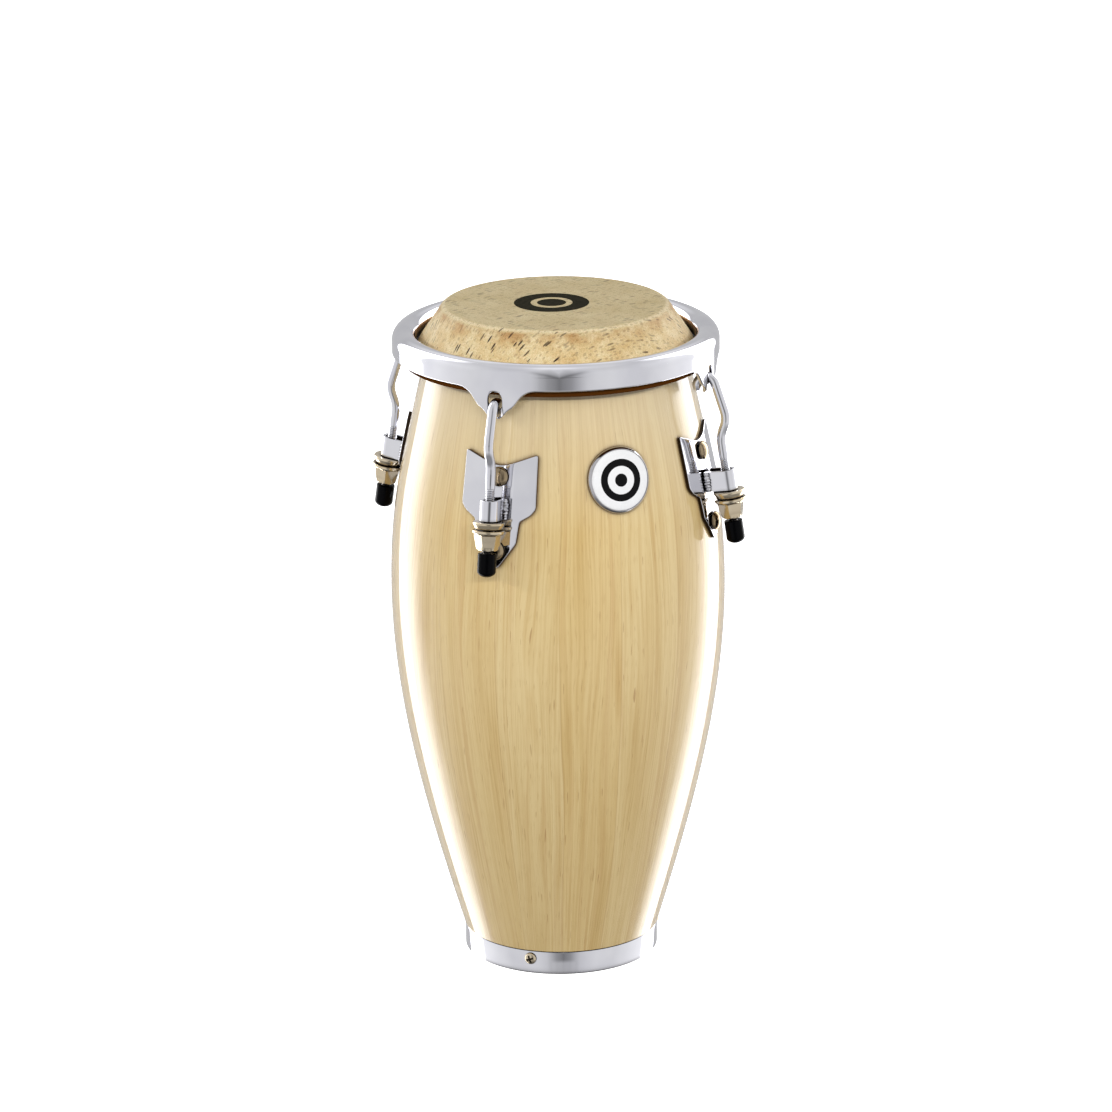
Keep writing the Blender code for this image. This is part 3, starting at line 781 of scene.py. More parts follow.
def make_shell(wood):
    heights = np.linspace(SHELL_KNOTS[0][0] + 0.25, SHELL_KNOTS[-1][0], 120)
    outer = [(shell_curve(height)[0], height) for height in heights[::-1]]
    inner = [above_shell(height, -WALL) for height in np.linspace(heights[0], heights[-1], 40)]
    foot = RING_RADIUS - RING_WALL - 0.3
    floor = RING_FLOOR + 0.3
    edge = [(BEARING_RADIUS, BEARING_HEIGHT - 1.2), (BEARING_RADIUS + 0.35, BEARING_HEIGHT - 0.6)]
    profile = edge[::-1] + spaced([edge[0], outer[0]], 1.5)[1:-1] + outer
    profile += [(foot, heights[0]), (foot, floor + 0.6), (foot - 0.6, floor)]
    profile += [(inner[0][0] - 0.9, floor), (inner[0][0] - 1.3, floor + 0.5)]
    profile += inner[:-1]
    profile += [(BEARING_RADIUS - 1.6, heights[-1]), (BEARING_RADIUS - 1.3, BEARING_HEIGHT - 0.5)]
    profile += [(BEARING_RADIUS - 0.8, BEARING_HEIGHT), (BEARING_RADIUS - 0.1, BEARING_HEIGHT)]
    piece("drum_shell", mesh_of("drum_shell", lathe(profile)), wood, "root", ["shell"])


def make_head(skin, ink, zinc):
    slope = Vector((CONE_RADIUS - HEAD_RADIUS, CONE_HEIGHT - HEAD_HEIGHT)).normalized()
    inward = Vector((slope.y, -slope.x)) * SKIN
    tuck = FLESH_INNER - 0.3
    low = FLESH_BOTTOM - 0.3
    rim = FLESH_OUTER + 0.3
    top = [(0.0, HEAD_HEIGHT)] + [(radius, HEAD_HEIGHT) for radius in (3.0, *PRINT_RING, 12.0)]
    top += [(radius, HEAD_HEIGHT) for radius in (PRINT_RADIUS, 20.0, 26.0, 32.0, 38.0)]
    shoulder = [(42.0, HEAD_HEIGHT), (HEAD_RADIUS, HEAD_HEIGHT)]
    shoulder += [(CONE_RADIUS, CONE_HEIGHT), (tuck, CONE_HEIGHT - 1.4)]
    outside = filleted(shoulder, 2.6, 8, closed=False)
    tucked = [outside[-1], (tuck, low), (rim, low), (rim, FLESH_TOP - 1.0)]
    outside = outside[:-1] + filleted(tucked, 0.8, 4, False)
    back = [
        (rim, FLESH_TOP - 1.0),
        (rim + TUCK, FLESH_TOP - 1.0),
        (rim + TUCK, low - TUCK),
        (tuck - TUCK, low - TUCK),
        (tuck - TUCK, CONE_HEIGHT - 1.0),
        (HEAD_RADIUS + inward.x, HEAD_HEIGHT + inward.y - 0.2),
        (HEAD_RADIUS - 2.4, HEAD_HEIGHT - SKIN),
        (0.0, HEAD_HEIGHT - SKIN),
    ]
    back = filleted(back, 0.8, 3, closed=False)
    profile = top + spaced(outside, 1.0) + back[1:]
    mesh = mesh_of("head_skin", lathe(profile))
    obj = piece("head_skin", mesh, [skin, ink], None, ["drumhead_skin"])
    for face in obj.data.polygons:
        radius = face.center.xy.length / MM
        printed = radius < PRINT_RADIUS and not PRINT_RING[0] < radius < PRINT_RING[1]
        if printed and face.center.z > (HEAD_HEIGHT - 0.5) * MM:
            face.material_index = 1
    for vert in obj.data.vertices:
        if vert.co.z > (HEAD_HEIGHT - 0.5) * MM:
            share = float(np.interp(vert.co.xy.length / MM, (PRINT_RADIUS, 38.0), (1.0, 0.0)))
            vert.co += Vector((*PRINT_OFF, 0.0)) * share * MM
    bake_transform(obj)

    profile = filleted(
        [
            (FLESH_OUTER, FLESH_TOP),
            (FLESH_OUTER, FLESH_BOTTOM),
            (FLESH_INNER, FLESH_BOTTOM),
            (FLESH_INNER, FLESH_TOP),
        ],
        1.4,
        4,
    )
    piece("hoop_ring", mesh_of("hoop_ring", lathe(profile, 192)), zinc, "hoop", ["flesh_hoop"])


# ---------------------------------------------------------------- rim


def ear_edge(off):
    """Height of the rim's lower edge, this many degrees from an ear's centre."""
    degrees, heights = np.transpose(EAR_EDGE)
    around = abs(off + np.linspace(-0.8, 0.8, 9))
    return float(np.interp(around, degrees, heights).mean())


def tongue(off, height):
    """How far the sheet is pressed in under an ear's slot."""
    across = abs(off) * math.radians(1.0) * RIM_RADIUS
    side = np.interp(across, (SLOT_HALF_WIDTH - 0.5, SLOT_HALF_WIDTH + 0.2), (1.0, 0.0))
    below = np.interp(height, (SLOT_LOW - 0.4, SLOT_LOW + 2.6), (1.0, 0.0))
    return TONGUE_DEPTH * float(side * side * (3 - 2 * side) * below)


def rim_columns():
    """Angles across one ear and half-way to its neighbours: close together near the slot."""
    near = np.arange(-4.5, 4.51, 0.25)
    middle = np.arange(5.25, 16.1, 0.75)
    far = np.linspace(17.5, 45.0, 20)
    return np.concatenate([-far[::-1], -middle[::-1], near, middle, far[:-1]])


SKIRT_ROWS = 16
SKIRT_TOP = BEAD_CENTRE[1]
PATCH_ROWS = (2, SKIRT_ROWS - 1)
PATCH_HALF = 4.0


def rim_section(off):
    """The rim's section at this many degrees from an ear: (radius, height) round the sheet.

    The first rows are the outside of the skirt going down, and the same number from the
    other side of the lower edge are its inside going up.
    """
    low = ear_edge(off)
    inner = RIM_RADIUS - RIM_SHEET
    heights = np.linspace(SKIRT_TOP, low + 0.45, SKIRT_ROWS)
    outside = [(RIM_RADIUS, height) for height in heights]
    hem = [
        (RIM_RADIUS - 0.12, low + 0.17),
        (RIM_RADIUS - 0.4, low + 0.02),
        (inner + 0.4, low + 0.02),
        (inner + 0.12, low + 0.17),
    ]
    inside = [(inner, height) for height in heights[::-1]]
    under_bead = arc(BEAD_CENTRE, BEAD_RADIUS - RIM_SHEET, 0.0, 150.0, 16)[1:]
    lip = [(LIP_RADIUS + 1.8, LIP_BOTTOM + 0.3), (LIP_RADIUS + 1.4, LIP_BOTTOM)]
    lip.append((LIP_RADIUS + 0.4, LIP_BOTTOM))
    lip += [(LIP_RADIUS, LIP_BOTTOM + 0.4)]
    bead = arc(BEAD_CENTRE, BEAD_RADIUS, 180.0, 0.0, 40)[:-1]
    section = outside + hem + inside + under_bead + lip + bead
    return [(radius - tongue(off, height), height) for radius, height in section]


def slot_edge(across, height):
    """The point of the slot's outline in the direction of this point from its middle."""
    middle = (SLOT_LOW + SLOT_HIGH) / 2
    tall = (SLOT_HIGH - SLOT_LOW) / 2
    angle = math.atan2(height - middle, across)
    bend = 2.3
    reach = (abs(math.cos(angle)) / SLOT_HALF_WIDTH) ** bend + (abs(math.sin(angle)) / tall) ** bend
    reach = reach ** (-1 / bend)
    return reach * math.cos(angle), middle + reach * math.sin(angle)


def rim_patch(points, turn, loop, inner_loop):
    """Faces round a slot: from a loop of the skirt's outside, through the slot, to its inside."""
    scale = math.radians(1.0) * RIM_RADIUS
    flat = []
    for number in loop:
        x, y, height = points[number]
        off = (math.degrees(math.atan2(y, x)) - turn + 180.0) % 360.0 - 180.0
        flat.append((off * scale, height))
    steps = [(0.72, 0.0), (0.48, 0.0), (0.28, 0.0), (0.14, 0.0), (0.05, 0.08), (0.0, 0.4)]
    steps += [(0.0, 1.2), (0.05, 1.52), (0.14, RIM_SHEET), (0.48, RIM_SHEET), (0.72, RIM_SHEET)]
    rings = [loop]
    for share, depth in steps:
        ring = []
        for across, height in flat:
            edge = slot_edge(across, height)
            x = edge[0] + share * (across - edge[0])
            z = edge[1] + share * (height - edge[1])
            off = x / scale
            radius = RIM_RADIUS - depth - tongue(off, z)
            angle = math.radians(turn + off)
            ring.append(len(points))
            points.append((radius * math.cos(angle), radius * math.sin(angle), z))
        rings.append(ring)
    rings.append(inner_loop)
    faces = []
    for first, second in zip(rings, rings[1:]):
        faces += band(first, second)
    return faces


def make_rim(chrome, lip_shade):
    points, columns = [], []
    for turn in sorted(turn % 360.0 for turn in LUGS.values()):
        for off in rim_columns():
            angle = math.radians(turn + off)
            section = rim_section(off)
            columns.append((turn, off, range(len(points), len(points) + len(section))))
            points += [(r * math.cos(angle), r * math.sin(angle), z) for r, z in section]
    rows = len(columns[0][2])
    inside_from = SKIRT_ROWS + 4
    top, bottom = PATCH_ROWS
    faces = []
    for i, (turn, off, numbers) in enumerate(columns):
        after = columns[(i + 1) % len(columns)]
        open_here = off >= -PATCH_HALF and after[1] <= PATCH_HALF and after[0] == turn
        for row in range(rows):
            mirrored = inside_from + SKIRT_ROWS - 2 - row
            if open_here and (top <= row < bottom or top <= mirrored < bottom):
                continue
            below = (row + 1) % rows
            faces.append((numbers[row], after[2][row], after[2][below], numbers[below]))
    for turn in sorted({column[0] for column in columns}):
        patch = [column for column in columns if column[0] == turn and abs(column[1]) <= PATCH_HALF]
        last_inside = inside_from + SKIRT_ROWS - 1
        loop = patch_loop(patch, top, bottom)
        inner_loop = patch_loop(patch, last_inside - top, last_inside - bottom)
        faces += rim_patch(points, turn, loop, inner_loop)
    mesh = mesh_of("rim", (points, faces))
    obj = piece("rim", mesh, [chrome, lip_shade], "hoop", ["tension_rim"], sharp=50.0)
    # painted reflection and shade: the faces inside the lip take the brown plating
    for polygon in obj.data.polygons:
        in_lip = polygon.center.xy.length < LIP_SHADE_RADIUS * MM and polygon.center.z < LIP_SHADE_HEIGHT * MM
        polygon.material_index = int(in_lip)


def patch_loop(patch, top, bottom):
    """The point numbers round a patch of the rim's lattice."""
    step = 1 if bottom > top else -1
    first, last = patch[0][2], patch[-1][2]
    loop = [column[2][top] for column in patch]
    loop += [last[row] for row in range(top + step, bottom, step)]
    loop += [column[2][bottom] for column in reversed(patch)]
    loop += [first[row] for row in range(bottom - step, top, -step)]
    return loop


# ---------------------------------------------------------------- foot and badge


def screw_frame(number):
    """A frame on the base ring's outside whose Z points out."""
    spin = turn_z(SCREW_TURN + number * 360.0 / SCREWS)
    out = Matrix.Rotation(math.radians(90.0), 4, "Y")
    return spin @ Matrix.Translation((RING_RADIUS, 0.0, SCREW_HEIGHT)) @ out


def box_mesh(width, depth, height, middle):
    bm = bmesh.new()
    bmesh.ops.create_cube(bm, size=1.0)
    bmesh.ops.scale(bm, vec=(width, depth, height), verts=bm.verts)
    bmesh.ops.translate(bm, vec=(0.0, 0.0, middle), verts=bm.verts)
    mesh = bpy.data.meshes.new("box")
    bm.to_mesh(mesh)
    bm.free()
    return mesh


def make_base(chrome, nickel, dark):
    inner = RING_RADIUS - RING_WALL
    profile = [
        (RING_RADIUS, RING_HEIGHT),
        (RING_RADIUS, 0.0),
        (RING_FLANGE, 0.0),
        (RING_FLANGE, RING_FLOOR),
        (inner, RING_FLOOR),
        (inner, RING_HEIGHT),
    ]
    ring = mesh_of("foot_ring", lathe(filleted(profile, 0.55, 4)))
    piece("foot_ring", ring, chrome, "root", ["base_ring"])
    for number in range(SCREWS):
        angles = np.linspace(0.0, 1.45, 12)
        crown = [(SCREW_HEAD * math.sin(a), 0.3 + SCREW_DOME * math.cos(a)) for a in angles]
        crown[0] = (0.0, crown[0][1])
        profile = crown + [(SCREW_HEAD - 0.1, 0.3), (SCREW_SHANK, 0.3)]
        profile += [(SCREW_SHANK, 1.5 - SCREW_LENGTH), (0.0, -SCREW_LENGTH)]
        screw = mesh_of("screw", lathe(profile, 48))
        cross = []
        for turn in (20.0, 110.0):
            arm = box_mesh(2 * CROSS_REACH, 0.85, 1.6, 0.3 + SCREW_DOME)
            arm.transform(turn_z(turn))
            cross.append(arm)
        screw = cut_from(screw, cross)
        # painted shade: the faces down in the cross recess take the dark finish
        for polygon in screw.polygons:
            out = polygon.center.xy.length
            crest = 0.3 + SCREW_DOME * math.sqrt(max(0.0, 1.0 - (out / SCREW_HEAD) ** 2))
            if out < CROSS_REACH and 0.4 < polygon.center.z < crest - 0.12:
                polygon.material_index = 1
        screw.transform(screw_frame(number))
        name = f"foot_screw_{number + 1}"
        piece(name, screw, [nickel, dark], "root", [f"base_screw_{number + 1}"])


def laid_on_shell(mesh, turn):
    """Bends a flat piece onto the shell: its X goes round, its Y is the height, its Z is out."""
    for vert in mesh.vertices:
        across, height, depth = vert.co
        radius, _ = shell_curve(height)
        far, up = above_shell(height, depth)
        angle = across / radius
        vert.co = (far * math.cos(angle), far * math.sin(angle), up)
    mesh.transform(turn_z(turn))
    return mesh


def make_badge(metal, enamel, black):
    raise_up = Matrix.Translation((0.0, BADGE_HEIGHT, 0.0))
    profile = [
        (0.0, 1.0),
        (6.0, 1.0),
        (BADGE_FACE + 0.05, 1.0),
        (BADGE_FACE + 0.05, 2.0),
        (BADGE_FACE + 0.3, 2.08),
        (BADGE_RADIUS - 0.45, 1.55),
        (BADGE_RADIUS - 0.1, 1.15),
        (BADGE_RADIUS, 0.8),
        (BADGE_RADIUS, 0.35),
        (BADGE_RADIUS - 0.2, 0.3),
        (6.0, 0.3),
        (0.0, 0.3),
    ]
    cup = laid_on_shell(mesh_of("badge_cup", lathe(profile, 128), raise_up), BADGE_TURN)
    piece("badge_cup", cup, metal, "root", ["badge_backing"])
    radii = [BADGE_DOT, 4.0, *BADGE_RING, 10.0, 11.3]
    crown = [(0.0, 2.2)] + [(radius, 2.2 - 0.15 * (radius / 12.0) ** 2) for radius in radii]
    crown += [(BADGE_FACE - 0.25, 1.98), (BADGE_FACE - 0.02, 1.8), (BADGE_FACE - 0.02, 1.3), (0.0, 1.3)]
    face = laid_on_shell(mesh_of("badge_disc", lathe(crown, 128), raise_up), BADGE_TURN)
    obj = piece("badge_disc", face, [enamel, black], "root", ["badge_face"])
    centre = Vector((0.0, -shell_curve(BADGE_HEIGHT)[0], BADGE_HEIGHT))
    for polygon in obj.data.polygons:
        off = polygon.center / MM - centre
        radius = math.hypot(off.x, off.z)
        marked = radius < BADGE_DOT or BADGE_RING[0] < radius < BADGE_RING[1]
        outward = polygon.normal.y < -0.5
        if marked and outward:
            polygon.material_index = 1


# ---------------------------------------------------------------- lugs


def rod_point(radius, height):
    """(out, up) along the rod's own leaning axes, from the middle of the receiver."""
    out = radius - RECEIVER_RADIUS
    up = height - RECEIVER_HEIGHT
    return (
        out * math.cos(ROD_LEAN) + up * math.sin(ROD_LEAN),
        up * math.cos(ROD_LEAN) - out * math.sin(ROD_LEAN),
    )


def rod_shape():
    """The hook rod: a round bar bent in a plane, with a rolled thread on its straight end."""
    hook = arc(HOOK_CENTRE, HOOK_RADIUS, HOOK_LEAN, 180.0, 22)
    hook.append((HOOK_CENTRE[0] - HOOK_RADIUS, HOOK_TIP))
    hook = [(r - HOOK_ROOM * max(0.0, HOOK_CENTRE[0] - r) / HOOK_RADIUS, z) for r, z in hook]
    hook = [rod_point(*point) for point in hook]
    thread = [(0.0, up) for up in np.arange(ROD_END, THREAD_TOP, THREAD_PITCH / 8)]
    bends = filleted([(0.0, THREAD_TOP), JOG_LOW, JOG_HIGH, hook[0]], 3.2, 10, closed=False)
    path = thread + spaced(bends[:-1], 1.2) + hook
    sides = 24
    rings = [[(path[0][0], 0.0, path[0][1])]]
    for i, (out, up) in enumerate(path):
        before = path[max(0, i - 1)]
        after = path[min(len(path) - 1, i + 1)]
        along = Vector((after[0] - before[0], after[1] - before[1])).normalized()
        chamfer = min(1.0, 0.72 + 0.6 * min(math.dist((out, up), path[0]), math.dist((out, up), path[-1])))
        ring = []
        for side in range(sides):
            angle = 2 * math.pi * side / sides
            radius = ROD_RADIUS * chamfer
            if up < THREAD_TOP and i < len(thread):
                phase = (up / THREAD_PITCH - side / sides) % 1.0
                fade = np.interp(up, (THREAD_TOP - 1.2, THREAD_TOP), (1.0, 0.0))
                radius -= THREAD_DEPTH * fade * abs(2 * phase - 1)
            in_plane = radius * math.cos(angle)
            ring.append((out + along.y * in_plane, radius * math.sin(angle), up - along.x * in_plane))
        rings.append(ring)
    end = path[-1]
    rings.append([(end[0], 0.0, end[1])])
    return loft(rings)


def hexagon_ring(flat, round_to, height, sides=96):
    """A ring that is a hexagon this far across its half flats, cut to a circle at its corners."""
    ring = []
    for side in range(sides):
        angle = 2 * math.pi * side / sides
        folded = (angle + math.pi / 6) % (math.pi / 3) - math.pi / 6
        radius = min(round_to, flat / math.cos(folded))
        ring.append((radius * math.cos(angle), radius * math.sin(angle), height))
    return ring


def nut_shape():
    """A flanged nut that tapers down to the rod's end."""
    top = NUT_TOP
    levels = (
        (9.0, BORE, top),
        (9.0, FLANGE_RADIUS - 0.4, top),
        (9.0, FLANGE_RADIUS - 0.1, top - 0.15),
        (9.0, FLANGE_RADIUS, top - 0.4),
        (9.0, FLANGE_RADIUS, top - 0.95),
        (9.0, FLANGE_RADIUS - 0.15, top - 1.25),
        (5.8, 6.1, top - 1.75),
        (5.0, 5.72, top - 2.1),
        (4.9, 5.62, top - 2.6),
        (4.55, 5.25, top - 4.6),
        (4.25, 4.95, top - 6.2),
        (4.05, 4.7, top - 7.0),
        (4.0, 4.35, NUT_BOTTOM + 0.4),
        (4.0, 3.9, NUT_BOTTOM + 0.05),
        (4.0, 3.6, NUT_BOTTOM),
        (4.0, BORE + 0.35, NUT_BOTTOM),
        (4.0, BORE, NUT_BOTTOM + 0.35),
    )
    return loft([hexagon_ring(*level) for level in levels], closed=True)


def washer_shape():
    profile = [
        (FLANGE_RADIUS - 0.2, WASHER_TOP),
        (FLANGE_RADIUS, WASHER_TOP - 0.7),
        (FLANGE_RADIUS - 1.0, WASHER_BOTTOM),
        (BORE, WASHER_BOTTOM),
        (BORE, WASHER_TOP),
    ]
    return lathe(filleted(profile, 0.3, 3), 96)


def cap_shape():
    """The rubber cap: a straight cup with a rounded end, on the rod's end."""
    crown = arc((0.0, 0.0), 1.0, 0.0, -90.0, 12)
    crown = [(CAP_RADIUS * x, CAP_BOTTOM + CAP_CROWN + CAP_CROWN * y) for x, y in crown]
    crown[-1] = (0.0, CAP_BOTTOM)
    profile = [(BORE, CAP_TOP), (CAP_RADIUS - 0.35, CAP_TOP), (CAP_RADIUS - 0.08, CAP_TOP - 0.15)]
    profile += [(CAP_RADIUS, CAP_TOP - 0.45), (CAP_RADIUS, CAP_TOP - 2.5)] + crown
    profile += [(0.0, ROD_END - 0.5), (BORE, ROD_END - 0.5)]
    return lathe(profile + [(BORE, CAP_TOP)], 64)


def strap_mesh():
    """A strap bent round the rod, with its two legs on the side plate."""
    inner = STRAP_RADIUS - STRAP_SHEET
    leg = STRAP_LEG - 0.15
    outline = [(leg, -STRAP_RADIUS)] + arc((0.0, 0.0), STRAP_RADIUS, -90.0, 90.0, 30)
    outline += [(leg, STRAP_RADIUS), (leg, inner)] + arc((0.0, 0.0), inner, 90.0, -90.0, 30)
    outline += [(leg, -inner)]
    rings = [[(x, y, up) for x, y in outline] for up in (RECEIVER_BOTTOM, RECEIVER_TOP)]
    points, faces = loft(rings)
    count = len(outline)
    faces += [tuple(range(count)), tuple(range(count, 2 * count))]
    return bevelled(mesh_of("strap", (points, faces)), 0.22, 3, 60.0)


def paint_shade_inside(obj, axis, dark):
    """Gives the faces of a strap that look at the rod a dark finish: painted shade inside the strap."""
    obj.data.materials.append(dark)
    rod_foot = axis.to_translation()
    along = axis.to_3x3() @ Vector((0.0, 0.0, 1.0))
    for polygon in obj.data.polygons:
        out = polygon.center / MM - rod_foot
        out -= along * out.dot(along)
        if abs(polygon.normal.dot(along)) < 0.5 and polygon.normal.dot(out) < 0.0:
            polygon.material_index = 1


def weld_shape(side, seed):
    """A ragged weld bead where a leg of the strap meets the side plate."""
    rings = []
    levels = np.linspace(RECEIVER_BOTTOM - 0.2, RECEIVER_TOP + 0.2, 46)
    for level in levels:
        swell = math.sin(math.pi * (level - levels[0]) / (levels[-1] - levels[0])) ** 0.25
        ripple = 0.16 * math.sin(level * 5.2 + seed)
        ring = []
        for i in range(20):
            angle = 2 * math.pi * i / 20
            place = Vector((math.cos(angle) * 1.1, math.sin(angle) * 1.1 + seed, level * 0.9))
            radius = swell * (1.15 + ripple + 0.45 * noise.noise(place * 1.4))
            x = STRAP_LEG + 0.7 + radius * 1.15 * math.cos(angle)
            y = side * (STRAP_RADIUS + 0.25) + radius * 0.95 * math.sin(angle)
            ring.append((x, y, level))
        rings.append(ring)
    ends = [[(STRAP_LEG + 0.7, side * (STRAP_RADIUS + 0.25), level)] for level in (levels[0], levels[-1])]
    return loft([ends[0]] + rings[1:-1] + [ends[1]])


def plate_mesh():
    """The side plate: a bevelled sheet whose wings bend back from a flat middle strip."""
    half = list(PLATE_HALF)
    outline = half + [(-across, height) for across, height in half[-2:0:-1]]
    outline = filleted(outline, 1.1, 4)
    count = len(outline)
    rings = [[(x, y, depth) for x, y in outline] for depth in (PLATE_GAP, PLATE_GAP + PLATE)]
    points, faces = loft(rings)
    faces += [tuple(range(count)), tuple(range(count, 2 * count))]
    mesh = bevelled(mesh_of("plate", (points, faces)), 0.3, 3, 60.0)
    fold = [PLATE_FOLD + d for d in (-0.5, -0.25, 0.0, 0.25, 0.5)]
    across = sorted([0.0] + fold + [-at for at in fold])
    mesh = sliced(mesh, across, np.arange(188.0, 231.0, 2.0))
    for vert in mesh.vertices:
        x, height, depth = vert.co
        radius, _ = shell_curve(height)
        far, up = above_shell(height, depth)
        spread = far / radius
        knots = [0.0, PLATE_FOLD, PLATE_HALF[3][0]]
        angles = [at / radius for at in knots]
        corners = [Vector((far * math.cos(a), far * math.sin(a))) for a in angles]
        wing = (corners[2] - corners[1]).normalized()
        reach = abs(x)
        if reach <= knots[1]:
            at = Vector((corners[1].x, reach * spread))
        else:
            at = Vector((corners[1].x, knots[1] * spread)) + wing * (reach - knots[1]) * spread
        vert.co = (at.x, math.copysign(at.y, x), up)
    return mesh


def bolt_shape():
    seat = PLATE + 0.6
    end = -WALL - SEAT_DROP - 5.3
    angles = np.linspace(0.0, 1.5, 14)
    crown = [(BOLT_HEAD * math.sin(a), seat + 2.1 * math.cos(a)) for a in angles]
    crown[0] = (0.0, seat + 2.1)
    profile = crown + [(BOLT_HEAD - 0.1, seat), (BOLT_RADIUS, seat)]
    profile += [(BOLT_RADIUS, end + 0.4), (BOLT_RADIUS - 0.4, end), (0.0, end)]
    return lathe(profile, 64)


def inner_washer_shape():
    top = -WALL - SEAT_DROP
    profile = [(4.5, top), (4.5, top - 0.8), (BOLT_RADIUS + 0.3, top - 0.8), (BOLT_RADIUS + 0.3, top)]
    return lathe(filleted(profile, 0.15, 2), 64)


def inner_nut_shape():
    top = -WALL - SEAT_DROP - 1.1
    bottom = top - 3.2
    levels = (
        (3.5, 2.3, top),
        (3.5, 3.55, top),
        (3.5, 4.04, top - 0.3),
        (3.5, 4.04, bottom + 0.3),
        (3.5, 3.55, bottom),
        (3.5, 2.3, bottom),
    )
    return loft([hexagon_ring(*level) for level in levels], closed=True)


def make_lugs(chrome, nickel, brown_reflecting_nickel, rubber, zinc, painted_shade_metal):
    for number, (side, turn) in enumerate(LUGS.items()):
        axis = rod_frame(turn)
        spun_nut = mesh_of("nut", nut_shape(), turn_z(NUT_TURNS[number]))
        hook, nut = f"hook_{side}", f"nut_{side}"
        on_rod = (
            ("rod", mesh_of("rod", rod_shape()), chrome, hook, "chrome", "hook_rod", 35.0),
            ("cap", mesh_of("cap", cap_shape()), rubber, hook, "rubber", "rod_cap", 35.0),
            ("nut", spun_nut, nickel, nut, "nickel", "tuning_nut", 24.0),
            ("washer", mesh_of("washer", washer_shape()), nickel, "root", "nickel", "lug_washer", 35.0),
            ("receiver", strap_mesh(), chrome, "root", "chrome", "rod_receiver", 35.0),
        )
        for name, mesh, finish, body, slot, node, sharp in on_rod:
            mesh.transform(axis)
            bent = name == "receiver"
            obj = piece(f"{name}_{side}", mesh, finish, body, [f"{node}_{side}"], sharp, bent)
            if bent:
                paint_shade_inside(obj, axis, painted_shade_metal)
        plate = plate_mesh()
        plate.transform(turn_z(turn))
        obj = piece(
            f"plate_{side}", plate, [chrome, painted_shade_metal], "root", [f"side_plate_{side}"], 40.0, True
        )
        face_out = bolt_frame(BOLTS["upper"], turn).to_3x3() @ Vector((0.0, 0.0, 1.0))
        # painted shade and dark reflection: the plate's cut edges take the dark finish
        for polygon in obj.data.polygons:
            if abs(polygon.normal.dot(face_out)) < EDGE_FACING:
                polygon.material_index = 1
        for label, edge in (("left", -1.0), ("right", 1.0)):
            weld = mesh_of("weld", weld_shape(edge, 3.1 * number + edge))
            weld.transform(axis)
            piece(f"weld_{label}_{side}", weld, chrome, "root", [])
        for row, height in BOLTS.items():
            on_bolt = (
                ("bolt", bolt_shape(), brown_reflecting_nickel, "nickel", "plate_bolt"),
                ("bolt_washer", inner_washer_shape(), zinc, "zinc", "inner_washer"),
                ("bolt_nut", inner_nut_shape(), zinc, "zinc", "inner_nut"),
            )
            for name, shape, finish, slot, node in on_bolt:
                mesh = mesh_of(name, shape, bolt_frame(height, turn))
                piece(f"{name}_{row}_{side}", mesh, finish, "root", [f"{node}_{row}_{side}"])


# ---------------------------------------------------------------- studio


def make_camera():
    data = bpy.data.cameras.new("camera")
    data.lens = CAMERA_LENS
    data.sensor_width = SENSOR
    data.clip_start = 0.05
    data.clip_end = 50.0
    camera = bpy.data.objects.new("camera", data)
    bpy.context.scene.collection.objects.link(camera)
    stand = turn_z(VIEW_TURN + 90.0)
    place = Matrix.Translation((0.0, -CAMERA_DISTANCE, CAMERA_HEIGHT))
    aim = Matrix.Rotation(CAMERA_YAW, 4, "Z") @ Matrix.Rotation(math.pi / 2 - CAMERA_PITCH, 4, "X")
    camera.matrix_world = stand @ place @ aim @ Matrix.Rotation(CAMERA_ROLL, 4, "Z")
    bpy.context.scene.camera = camera


def make_floor():
    bm = bmesh.new()
    bmesh.ops.create_grid(bm, x_segments=1, y_segments=1, size=12.0)
    mesh = bpy.data.meshes.new("floor")
    bm.to_mesh(mesh)
    bm.free()
    floor = bpy.data.objects.new("floor", mesh)
    bpy.context.scene.collection.objects.link(floor)
    r = recipe("pale_floor")
    tone = r.clouds(r.millimetres(), 0.002, 2.0)
    colour = r.ramp(tone, (0.3, srgb(246, 246, 247)), (0.7, srgb(250, 250, 250)))
    mesh.materials.append(
        r.finish(Base_Color=colour, Roughness=0.9, Emission_Color=colour, Emission_Strength=FLOOR_GLOW)
    )
    floor.visible_glossy = False
    floor.visible_diffuse = False


def from_view(r, direction):
    """(turn from the camera's side as a share of half a turn, height as a share of upright)."""
    x, y, z = r.split(direction)
    view = math.radians(VIEW_TURN)
    front = r.math("ADD", r.math("MULTIPLY", x, math.cos(view)), r.math("MULTIPLY", y, math.sin(view)))
    side = r.math("SUBTRACT", r.math("MULTIPLY", y, math.cos(view)), r.math("MULTIPLY", x, math.sin(view)))
    turn = r.math("MULTIPLY", r.math("ARCTAN2", side, front), 1.0 / math.pi)
    off = r.math("ABSOLUTE", r.math("SUBTRACT", turn, 0.012))
    rise = r.math("MULTIPLY", r.math("ARCSINE", z), 2.0 / math.pi)
    return off, rise


